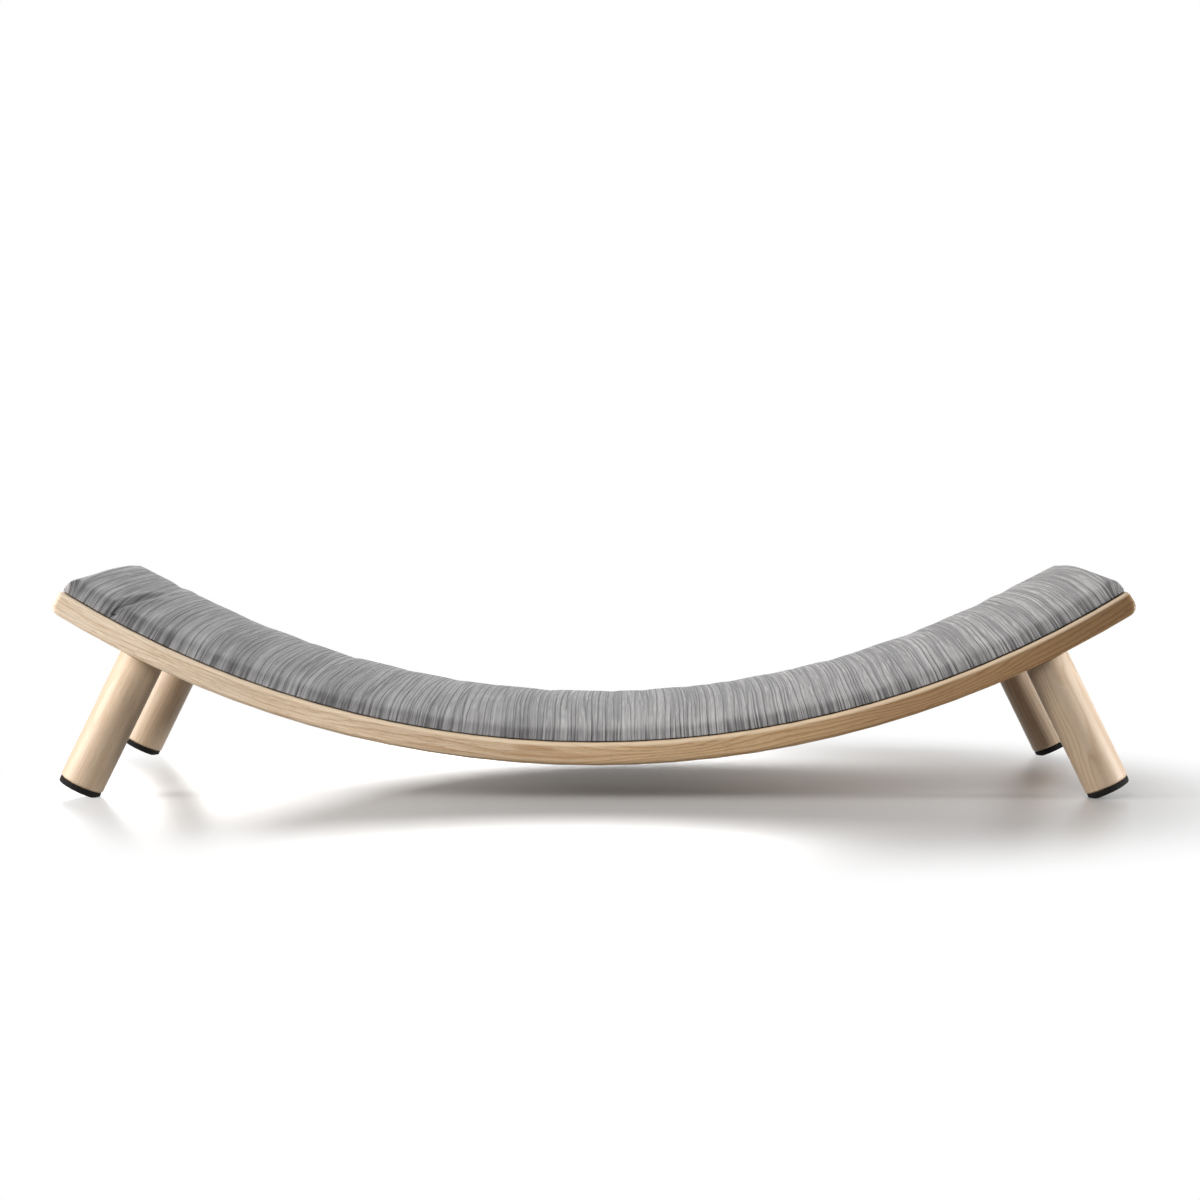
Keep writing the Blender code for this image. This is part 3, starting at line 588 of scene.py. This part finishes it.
# The valleys' painted shade: how much of it, and its grey.
VALLEY_SHADE_SHARE, VALLEY_SHADE_GREY = 0.70, "#434244"
RIB_HEIGHT_MM, RIB_STRENGTH, YARN_SHARE = 0.8, 0.7, 0.5
greys = add_node(tree, "ShaderNodeValToRGB", {"stops": GREYS}, {"Fac": tone})
slubs = add_node(tree, "ShaderNodeMapRange",
                 {"From Min": SLUB_LEVELS[0], "From Max": SLUB_LEVELS[1], "To Min": 0.0,
                  "To Max": SLUB_SHARE}, {"Value": slub})
lit = add_node(tree, "ShaderNodeMix", {"data_type": "RGBA", "B": linear(SLUB_GREY)},
               {"Factor": slubs.outputs[0], "A": greys.outputs["Color"]})
# Painted shade: the valleys between the ribs are darkened in colour as well as sunk by the bump.
painted_valley_shade = add_node(tree, "ShaderNodeMath", {"operation": "MULTIPLY", 1: VALLEY_SHADE_SHARE},
                {0: valley.outputs[0]})
ribbed_and_shaded = add_node(tree, "ShaderNodeMix", {"data_type": "RGBA", "B": linear(VALLEY_SHADE_GREY)},
                  {"Factor": painted_valley_shade.outputs[0], "A": lit.outputs["Result"]})
tree.links.new(ribbed_and_shaded.outputs["Result"], shader.inputs["Base Color"])
shader.inputs["Roughness"].default_value = 0.88
shader.inputs["IOR"].default_value = 1.5
shader.inputs["Sheen Weight"].default_value = 0.12
shader.inputs["Sheen Roughness"].default_value = 0.5
rib_relief = add_node(tree, "ShaderNodeMath", {"operation": "SUBTRACT", 0: 1.0},
                      {1: valley.outputs[0]})
relief = add_node(tree, "ShaderNodeMath", {"operation": "MULTIPLY_ADD", 1: YARN_SHARE},
                  {0: yarn, 2: rib_relief.outputs[0]})
bump = add_node(tree, "ShaderNodeBump",
                {"Strength": RIB_STRENGTH, "Distance": RIB_HEIGHT_MM * MM},
                {"Height": relief.outputs[0]})
tree.links.new(bump.outputs["Normal"], shader.inputs["Normal"])
print(len(GREYS), "greys, ribs", RIB_HEIGHT_MM, "mm high")

# %% [markdown]
# ## The shape of the pad's cover
# The cover is cut and sewn flat: a top with rounded corners whose border turns down to a hem. It
# could be sculpted from a rounded box, but only a flat grid keeps the cut of the cloth, which the
# simulation below needs. The grid is 780 by 358 mm, finer near the border where the cloth turns
# over, and round the place of the deep fold at the left end. Corners are rounded by squeezing the
# square corner of the grid into a quarter circle.

# %% Grid of the flat cover
PAD_HALF_LENGTH = 390 * MM
PAD_HALF_DEPTH = 179 * MM
CORNER = 6 * MM
CELL = 5.0 * MM
EDGE_PLACES = [edge * MM for edge in (0, 0.25, 0.9, 2, 3.7, 6, 9, 13, 17.5)]
FOLD_FROM, FOLD_TO, FOLD_CELL = -362 * MM, -328 * MM, 1.7 * MM


def grid_places(half):
    """Places from one side to the other, closer together near both sides."""
    inner = half - EDGE_PLACES[-1]
    cells = round(2 * inner / CELL)
    middle = [-inner + 2 * inner * step / cells for step in range(1, cells)]
    left = [-half + edge for edge in EDGE_PLACES]
    return left + middle + [-place for place in reversed(left)]


def round_corner(along, across, half_length, half_depth):
    """Squeeze the square corners into quarter circles; also gives the way to the outline."""
    over_along = abs(along) - (half_length - CORNER)
    over_across = abs(across) - (half_depth - CORNER)
    if over_along <= 0 or over_across <= 0:
        return along, across, min(half_length - abs(along), half_depth - abs(across))
    longest = max(over_along, over_across)
    shrink = longest / math.hypot(over_along, over_across)
    new_along = math.copysign(half_length - CORNER + over_along * shrink, along)
    new_across = math.copysign(half_depth - CORNER + over_across * shrink, across)
    return new_along, new_across, CORNER - longest


columns = [place for place in grid_places(PAD_HALF_LENGTH) if not FOLD_FROM < place < FOLD_TO]
fold_steps = round((FOLD_TO - FOLD_FROM) / FOLD_CELL)
columns += [FOLD_FROM + FOLD_CELL * step for step in range(fold_steps)]
columns.sort()
rows = grid_places(PAD_HALF_DEPTH)
print("cover grid", len(columns), "by", len(rows))

# %% [markdown]
# ## The height of the cover
# The foam is a little thicker at the ends than in the middle, and fuller at the front of the
# ends. The cloth turns down over a wide roll at the long sides and a tight one at the ends, and
# the sides pull in between the corners, as they do on any stuffed cover. Blowing the cover up
# with pressure could find such a form, but not the wanted sizes. So crown, rolls and drawn-in
# sides are one height and one shift for each point.

# %% Height of the cover
BORDER, END_BORDER, FRONT_FULLER = 7.4 * MM, 8.8 * MM, 3.2 * MM
MIDDLE, END = 13.0 * MM, 15.5 * MM
SIDE_ROLL, END_ROLL = 18.0 * MM, 7.0 * MM
SIDE_DRAW, END_DRAW = 1.5 * MM, 2.0 * MM
HEM_LEVEL = 0.9 * MM


def cover_height(along, across, to_edge):
    """Height over the board of a point, given also how far it is from the outline."""
    along_share = along / PAD_HALF_LENGTH
    across_share = across / PAD_HALF_DEPTH
    endness = abs(along_share) ** 6
    border = BORDER + (END_BORDER - BORDER - FRONT_FULLER * across_share) * endness
    crown = END + (MIDDLE - END) * (1 - abs(along_share) ** 3) - border
    crown *= max(0.0, 1 - across_share ** 2) * (1 - 0.5 * across_share * endness)
    inward = max(0.0, 1 - to_edge / END_ROLL, 1 - (PAD_HALF_DEPTH - abs(across)) / SIDE_ROLL)
    return HEM_LEVEL + (border + crown - HEM_LEVEL) * math.sqrt(max(0.0, 1 - inward ** 3))


def drawn_in(along, across):
    """Pull the sides in, most in the middle between two corners."""
    along_share = along / PAD_HALF_LENGTH
    across_share = across / PAD_HALF_DEPTH
    return (along - END_DRAW * along_share * (1 - across_share ** 2),
            across - SIDE_DRAW * across_share * (1 - along_share ** 2))


print("crown", round(cover_height(0, 0, 1) / MM, 1), "mm in the middle")

# %% [markdown]
# ## Folds and waves
# Where a stuffed cover is bent hollow side up, its top has a little more cloth than the bend
# needs, so soft waves run from front to rear, stronger towards the ends. The left end has one
# deep fold, which starts at the front edge and fades as it runs back, with a ridge of pushed-up
# cloth on both its sides. Shallow ones lie near all four corners. A simulation puts large folds
# where it likes. So each is a line here, with a start, an end, a width and a depth, and lies
# where the real one does.

# %% Folds and waves
FOLD_RIDGE, RIDGE_ASIDE = 0.45, 1.7      # the ridge's height and place, in fold depths and widths
FOLD_START = 0.15                        # a fold begins this share of its length before its start
WAVES_MM = ((0.7, 26, 210, 0.3), (0.8, 60, 120, 5.1))    # height, along, across, seed


def fold(along, across, start, end, width, strength):
    """Depth of one fold that runs between two places and fades out towards its far end."""
    run = Vector(end) - Vector(start)
    offset = Vector((along, across)) - Vector(start)
    share = offset.dot(run) / run.length_squared
    if share < -FOLD_START or share > 1:
        return 0.0
    aside = (offset - share * run).length / width
    fade = (1 - share) * min(1.0, (share + FOLD_START) / FOLD_START)
    ridge = FOLD_RIDGE * math.exp(-(aside - RIDGE_ASIDE) ** 2)
    return strength * fade * (ridge - math.exp(-aside ** 2))


# Where a fold starts and ends, its width and its depth, all in mm.
FOLDS_MM = (
    ((-351, -178), (-338, 20), 2.5, 5.0),
    ((-376, -172), (-368, -60), 4.5, 1.3),
    ((-322, -177), (-306, -60), 5.0, 1.6),
    ((-283, -177), (-262, -70), 5.0, 0.8),
    ((312, -177), (296, -70), 5.5, 0.9),
    ((352, -176), (346, -60), 5.0, 0.7),
    ((-352, 176), (-330, 60), 5.0, 1.2),
    ((341, 176), (322, 60), 5.0, 1.1),
)


def folds_and_waves(along, across):
    """How far the cloth lies over or under the plain crown at a point."""
    along_mm, across_mm = along / MM, across / MM
    soft = sum(height * noise.noise(Vector((along_mm / length, across_mm / width, seed)))
               for height, length, width, seed in WAVES_MM)
    soft *= 0.25 + 0.75 * min(1.0, abs(along) / PAD_HALF_LENGTH)
    return MM * (soft + sum(fold(along_mm, across_mm, *spec) for spec in FOLDS_MM))


print(len(FOLDS_MM), "folds, the deepest", max(spec[-1] for spec in FOLDS_MM), "mm")

# %% [markdown]
# ## Build the cover
# Each column of the grid runs from front to rear. The hem is two more rows round the outline: one
# that stands on the board, and one turned in under the pad, where it is sewn to the base panel. A
# modifier could add them, but they are pinned in the simulation, so they are built with the rest.
# The flat places are kept, because the cloth's cut is worked out from them, and then every point
# is bent onto the seat.

# %% Build the cover
HEM_STEPS = ((0.5 * MM, 0.75 * MM), (6.5 * MM, 1.9 * MM))    # inset and level
bm = bmesh.new()
grid = []
for column in columns:
    grid.append([])
    for row in rows:
        along, across, to_edge = round_corner(column, row, PAD_HALF_LENGTH, PAD_HALF_DEPTH)
        height = cover_height(along, across, to_edge)
        grid[-1].append(bm.verts.new((*drawn_in(along, across), height)))
for left, right in zip(grid, grid[1:]):
    for low in range(len(rows) - 1):
        bm.faces.new((left[low], right[low], right[low + 1], left[low + 1]))
ring = [line[0] for line in grid] + grid[-1][1:-1]
ring += [line[-1] for line in reversed(grid)] + list(reversed(grid[0][1:-1]))
for inset, level in HEM_STEPS:
    scale_along = 1 - inset / PAD_HALF_LENGTH
    scale_across = 1 - inset / PAD_HALF_DEPTH
    new_ring = [bm.verts.new((vert.co.x * scale_along, vert.co.y * scale_across, level))
                for vert in ring]
    for place, vert in enumerate(ring):
        after = (place + 1) % len(ring)
        bm.faces.new((vert, new_ring[place], new_ring[after], ring[after]))
    ring = new_ring
bmesh.ops.recalc_face_normals(bm, faces=bm.faces)
top = max(bm.faces, key=lambda face: face.calc_center_median().z)
if top.normal.z < 0:
    bmesh.ops.reverse_faces(bm, faces=bm.faces)
flat_points = [vert.co.copy() for vert in bm.verts]
for vert in bm.verts:
    vert.co = on_seat(*vert.co)
cover = add_object("pad_cover_cloth", bm, striped_cloth)
print("cover", len(flat_points), "points")

# %% [markdown]
# ## Let the cloth find its creases
# The cover is cut flat and then bent with the pad, hollow side up, and its top is 13 to 15 mm
# nearer the arc's middle than the board, so it has about 2 percent more cloth than the bend
# needs. That cloth goes into fine creases that run from front to rear. A noise could draw them,
# but a short cloth simulation finds them where real cloth does, because the flat cut is its rest
# shape. A light pressure without gravity stands for the foam, which also holds each point a
# little, and its slight unevenness says where creases begin. The hem is pinned, and no point may
# end more than 4 mm from where it began.

# %% Cloth simulation
PIN_BELOW = 2.0 * MM
FOAM_FROM = 3.0 * MM
FOAM_HOLD = 0.11                                     # of a pin's hold
UNEVEN_FOAM, UNEVEN_MM = 0.35 * MM, (9, 260)         # height, and size along and across
CREASE_LIMIT = 4.0 * MM
SETTLE_FRAMES = 15
CLOTH = {
    "quality": 8, "mass": 0.3, "tension_stiffness": 15, "compression_stiffness": 15,
    "tension_damping": 5, "compression_damping": 5, "shear_stiffness": 5,
    "bending_stiffness": 0.5, "use_pressure": True, "uniform_pressure_force": 3.0,
    "vertex_group_mass": "held",
}


def settle(obj, flat_points):
    """Move the bent cover to where its cloth comes to rest; gives how far each point went."""
    start = [vert.co.copy() for vert in obj.data.vertices]
    normals = [vert.normal.copy() for vert in obj.data.vertices]
    for vert, normal, flat in zip(obj.data.vertices, normals, flat_points):
        if flat.z > FOAM_FROM:
            wave = noise.noise(Vector((flat.x / (UNEVEN_MM[0] * MM),
                                       flat.y / (UNEVEN_MM[1] * MM), 0.3)))
            vert.co += normal * wave * UNEVEN_FOAM
    held = obj.vertex_groups.new(name="held")
    for number, flat in enumerate(flat_points):
        held.add([number], 1.0 if flat.z < PIN_BELOW else FOAM_HOLD, "REPLACE")
    obj.shape_key_add(name="bent")
    cut_flat = obj.shape_key_add(name="cut_flat")
    for point, flat in zip(cut_flat.data, flat_points):
        point.co = flat
    cloth = obj.modifiers.new("settle", "CLOTH")
    for key, value in CLOTH.items():
        setattr(cloth.settings, key, value)
    cloth.settings.rest_shape_key = cut_flat
    cloth.settings.effector_weights.gravity = 0.0
    cloth.collision_settings.use_collision = False
    for number in range(1, SETTLE_FRAMES + 1):
        bpy.context.scene.frame_set(number)
    graph = bpy.context.evaluated_depsgraph_get()
    moved = [vert.co.copy() for vert in obj.evaluated_get(graph).data.vertices]
    obj.modifiers.remove(cloth)
    obj.shape_key_clear()
    obj.vertex_groups.clear()
    bpy.context.scene.frame_set(1)
    shifts = []
    for vert, old, new in zip(obj.data.vertices, start, moved):
        shift = new - old
        shifts.append(shift.length)
        if shift.length > CREASE_LIMIT:
            shift *= CREASE_LIMIT / shift.length
        vert.co = old + shift
    return shifts


shifts = settle(cover, flat_points)
print("the cloth moved", round(sum(shifts) / len(shifts) / MM, 2), "mm on average and",
      round(max(shifts) / MM, 2), "mm at most")

# %% [markdown]
# ## Folds, thickness and smoothness
# The folds come after the simulation, which would iron them out. Each point moves along the
# cloth's own normal. The cloth is then given its real thickness, about 1.2 mm with its backing. A
# finer grid could make it smooth, but would slow the simulation, so one level of subdivision does
# that afterwards.

# %% Fold and finish the cover
FOLD_FADE = 4.0 * MM                     # folds fade out over this height above the hem
CLOTH_THICKNESS = 1.2 * MM
normals = [vert.normal.copy() for vert in cover.data.vertices]
for vert, normal, flat in zip(cover.data.vertices, normals, flat_points):
    if flat.z > PIN_BELOW:
        rise = min(1.0, (flat.z - PIN_BELOW) / FOLD_FADE)
        vert.co += normal * folds_and_waves(flat.x, flat.y) * rise
cover.data.shade_smooth()
thick = cover.modifiers.new("thickness", "SOLIDIFY")
thick.thickness = CLOTH_THICKNESS
thick.offset = -1
smooth = cover.modifiers.new("smooth", "SUBSURF")
smooth.levels = 1
smooth.render_levels = 1
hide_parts("pad_cover", "pad_foam")
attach(cover, "cushion")
print("cover", round(CLOTH_THICKNESS / MM, 1), "mm thick")

# %% [markdown]
# ## The base panel
# Under the pad is a plain dark panel of pressed polyester, with the zip set into it. It has a
# felted grain about 1.5 mm across and a line of 3.2 mm stitches on both sides of the zip.
# Stitches could be small meshes, but these show only when the pad is lifted, so they are drawn by
# their distance from the zip and their length along it.

# %% Base panel material
FELT_MM = 1.5
STITCH_ASIDE_MM, STITCH_HALF_WIDTH_MM, STITCH_MM, STITCH_SHARE = 10.0, 0.45, 3.2, 0.72
PANEL_GREYS, STITCH_GREY = [(0.35, "#39393c"), (0.65, "#4d4d51")], "#8f8f92"
base_cloth, tree, shader = new_material("pressed_polyester_panel")
source = flat_place(tree)
felt = streaks(tree, source, (FELT_MM,) * 3, detail=4.0, roughness=0.65)
parts = add_node(tree, "ShaderNodeSeparateXYZ", links={0: source})
from_zip = add_node(tree, "ShaderNodeMath", {"operation": "SUBTRACT", 1: ZIP_ACROSS / MM},
                    {0: parts.outputs[1]})
aside = add_node(tree, "ShaderNodeMath", {"operation": "ABSOLUTE"}, {0: from_zip.outputs[0]})
line = add_node(tree, "ShaderNodeMath",
                {"operation": "COMPARE", 1: STITCH_ASIDE_MM, 2: STITCH_HALF_WIDTH_MM},
                {0: aside.outputs[0]})
turns = add_node(tree, "ShaderNodeMath", {"operation": "DIVIDE", 1: STITCH_MM},
                 {0: parts.outputs[0]})
turn_share = add_node(tree, "ShaderNodeMath", {"operation": "FRACT"}, {0: turns.outputs[0]})
dash = add_node(tree, "ShaderNodeMath", {"operation": "LESS_THAN", 1: STITCH_SHARE},
                {0: turn_share.outputs[0]})
stitch = add_node(tree, "ShaderNodeMath", {"operation": "MULTIPLY"},
                  {0: line.outputs[0], 1: dash.outputs[0]})
pressed = add_node(tree, "ShaderNodeValToRGB", {"stops": PANEL_GREYS}, {"Fac": felt})
sewn = add_node(tree, "ShaderNodeMix", {"data_type": "RGBA", "B": linear(STITCH_GREY)},
                {"Factor": stitch.outputs[0], "A": pressed.outputs["Color"]})
tree.links.new(sewn.outputs["Result"], shader.inputs["Base Color"])
shader.inputs["Roughness"].default_value = 0.9
shader.inputs["IOR"].default_value = 1.5
raised = add_node(tree, "ShaderNodeMath", {"operation": "ADD"},
                  {0: felt, 1: stitch.outputs[0]})
bump = add_node(tree, "ShaderNodeBump", {"Strength": 0.5, "Distance": 0.25 * MM},
                {"Height": raised.outputs[0]})
tree.links.new(bump.outputs["Normal"], shader.inputs["Normal"])
print("panel felt", FELT_MM, "mm, stitches", STITCH_MM, "mm")

# %% [markdown]
# ## Build the base panel
# The panel is a sheet 3 mm over the board, just inside the turned hem of the cover, with a slot
# for the zip's tapes. A Boolean could cut the slot, but leaving out the grid's cells there gives
# cleaner faces. The sheet is drawn in like the cover and bent onto the same arc.

# %% Build the base panel
BASE_INSET = 3.4 * MM
BASE_HALF_LENGTH, BASE_HALF_DEPTH = PAD_HALF_LENGTH - BASE_INSET, PAD_HALF_DEPTH - BASE_INSET
BASE_LOW, BASE_THICKNESS = 3.0 * MM, 1.2 * MM
SLOT_HALF_LENGTH, SLOT_HALF_WIDTH = 276.6 * MM, 7.8 * MM
CELLS_ALONG, CELLS_ACROSS = 60, 24
base_columns = sorted([BASE_HALF_LENGTH * (2 * step / CELLS_ALONG - 1)
                       for step in range(CELLS_ALONG + 1)]
                      + [-SLOT_HALF_LENGTH, SLOT_HALF_LENGTH])
base_rows = sorted([BASE_HALF_DEPTH * (2 * step / CELLS_ACROSS - 1)
                    for step in range(CELLS_ACROSS + 1)]
                   + [ZIP_ACROSS - SLOT_HALF_WIDTH, ZIP_ACROSS + SLOT_HALF_WIDTH])
bm = bmesh.new()
lines = []
for column in base_columns:
    lines.append([])
    for row in base_rows:
        along, across, _ = round_corner(column, row, BASE_HALF_LENGTH, BASE_HALF_DEPTH)
        lines[-1].append(bm.verts.new(on_seat(*drawn_in(along, across), BASE_LOW)))
for number, (left, right) in enumerate(zip(lines, lines[1:])):
    middle_along = (base_columns[number] + base_columns[number + 1]) / 2
    for low in range(len(base_rows) - 1):
        middle_across = (base_rows[low] + base_rows[low + 1]) / 2
        in_slot = (abs(middle_along) < SLOT_HALF_LENGTH
                   and abs(middle_across - ZIP_ACROSS) < SLOT_HALF_WIDTH)
        if not in_slot:
            bm.faces.new((left[low], left[low + 1], right[low + 1], right[low]))
base = add_object("pad_base_panel", bm, base_cloth)
base.data.shade_smooth()
panel = base.modifiers.new("thickness", "SOLIDIFY")
panel.thickness = BASE_THICKNESS
panel.offset = -1
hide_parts("pad_base")
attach(base, "cushion")
print("base panel", len(base.data.polygons), "faces")

# %% [markdown]
# ## The studio: the floor
# The picture is on white, with a soft shadow under the bed and a faint reflection of the legs. A
# shadow catcher could give the shadow but no reflection, so the floor is a real one, white and
# slightly glossy, with a slow unevenness. For the light that it throws up at the bed it is darker
# than it is seen, so that the shade under the seat stays. Outside an oval round the bed it is
# seen as plain white, and so joins the white background without a line.

# %% Floor
FLOOR_GREYS, FLOOR_BOUNCE = [(0.3, "#d4d4d4"), (0.7, "#dadada")], "#707070"
UNEVEN_OVER = 0.35                                   # metres
OVAL_SCALE, OVAL_SHIFT = (1.05, 1.0, 1.0), (-0.04, 0.12, 0.0)
OVAL_FROM, OVAL_TO = 0.31, 0.52                      # metres from the oval's middle
FLOOR_HALF = 40
floor_material, tree, shader = new_material("white_sweep")
floor_place = add_node(tree, "ShaderNodeTexCoord").outputs["Object"]
uneven = streaks(tree, floor_place, (UNEVEN_OVER,) * 3, detail=2.0)
white = add_node(tree, "ShaderNodeValToRGB", {"stops": FLOOR_GREYS}, {"Fac": uneven})
rays = add_node(tree, "ShaderNodeLightPath")
mirrored = add_node(tree, "ShaderNodeMath", {"operation": "MAXIMUM"},
                    {0: rays.outputs["Is Glossy Ray"], 1: rays.outputs["Is Transmission Ray"]})
seen = add_node(tree, "ShaderNodeMath", {"operation": "MAXIMUM"},
                {0: rays.outputs["Is Camera Ray"], 1: mirrored.outputs[0]})
paint = add_node(tree, "ShaderNodeMix", {"data_type": "RGBA", "A": linear(FLOOR_BOUNCE)},
                 {"Factor": seen.outputs[0], "B": white.outputs["Color"]})
tree.links.new(paint.outputs["Result"], shader.inputs["Base Color"])
shader.inputs["Roughness"].default_value = 0.32
shader.inputs["Specular IOR Level"].default_value = 0.35
oval_place = add_node(tree, "ShaderNodeVectorMath",
                      {"operation": "MULTIPLY_ADD", 1: OVAL_SCALE, 2: OVAL_SHIFT},
                      {0: floor_place})
from_bed = add_node(tree, "ShaderNodeVectorMath", {"operation": "LENGTH"},
                    {0: oval_place.outputs[0]})
far = add_node(tree, "ShaderNodeMapRange",
               {"interpolation_type": "SMOOTHSTEP", "From Min": OVAL_FROM, "From Max": OVAL_TO},
               {"Value": from_bed.outputs["Value"]})
far_seen = add_node(tree, "ShaderNodeMath", {"operation": "MULTIPLY"},
                    {0: far.outputs[0], 1: seen.outputs[0]})
glow = add_node(tree, "ShaderNodeEmission", {"Color": (1, 1, 1, 1), "Strength": 1.0})
sweep = add_node(tree, "ShaderNodeMixShader",
                 links={0: far_seen.outputs[0], 1: shader.outputs[0], 2: glow.outputs[0]})
tree.links.new(sweep.outputs[0], tree.nodes["Material Output"].inputs["Surface"])
bm = bmesh.new()
bmesh.ops.create_grid(bm, x_segments=1, y_segments=1, size=FLOOR_HALF)
floor = add_object("floor", bm, floor_material)
print("floor", 2 * FLOOR_HALF, "m wide")

# %% [markdown]
# ## The studio: the room
# The room is white where the camera or a mirror sees it. White walls could be built, but they
# would light the bed from all sides. So the world's colour is used, which is a dim fill for
# everything else, and the lamps shape the bed.

# %% World
FILL = 0.12
world = bpy.data.worlds.new("studio")
bpy.context.scene.world = world
world.use_nodes = True
tree = world.node_tree
tree.nodes.clear()
rays = add_node(tree, "ShaderNodeLightPath")
looked_at = add_node(tree, "ShaderNodeMath", {"operation": "MAXIMUM"},
                     {0: rays.outputs["Is Camera Ray"], 1: rays.outputs["Is Glossy Ray"]})
shown = add_node(tree, "ShaderNodeMath", {"operation": "MAXIMUM"},
                 {0: looked_at.outputs[0], 1: rays.outputs["Is Transmission Ray"]})
fill = add_node(tree, "ShaderNodeBackground", {"Color": linear("#fdfcff"), "Strength": FILL})
white_back = add_node(tree, "ShaderNodeBackground", {"Color": (1, 1, 1, 1), "Strength": 1.0})
mixed = add_node(tree, "ShaderNodeMixShader",
                 links={0: shown.outputs[0], 1: fill.outputs[0], 2: white_back.outputs[0]})
add_node(tree, "ShaderNodeOutputWorld", links={"Surface": mixed.outputs[0]})
print("fill", FILL)

# %% [markdown]
# ## The studio: the lamps
# One large lamp could light the bed, but the photograph shows light from several sides. So there
# are four round soft lamps at a plain level: a key low at the left for the left legs' outer
# sides, a wide one in front for the pad and the board's edge, one behind that throws the bed's
# shadow forward, and a small one low at the right that rims the right legs.

# %% Lamps
# Name, place in metres, width in metres, watts, colour.
LAMPS = (("left_key", (-2.1, -0.6, 0.6), 1.1, 54, "#fffaf4"),
         ("front", (-0.3, -1.9, 1.2), 1.3, 19, "#ffffff"),
         ("behind", (-0.3, 2.2, 0.9), 1.2, 34, "#ffffff"),
         ("rim_right", (1.6, -0.25, 0.06), 0.25, 26, "#ffffff"))
AIM_AT = Vector((0, 0, 0.1))
for name, location, size, watts, colour in LAMPS:
    lamp_data = bpy.data.lights.new(name, "AREA")
    lamp_data.shape = "DISK"
    lamp_data.size = size
    lamp_data.energy = watts
    lamp_data.color = linear(colour)[:3]
    lamp = bpy.data.objects.new(name, lamp_data)
    lamp.location = location
    aim = AIM_AT - Vector(location)
    lamp.rotation_euler = aim.to_track_quat("-Z", "Y").to_euler()
    bpy.context.scene.collection.objects.link(lamp)
bpy.context.scene.view_settings.view_transform = "Standard"
print(len(LAMPS), "lamps")
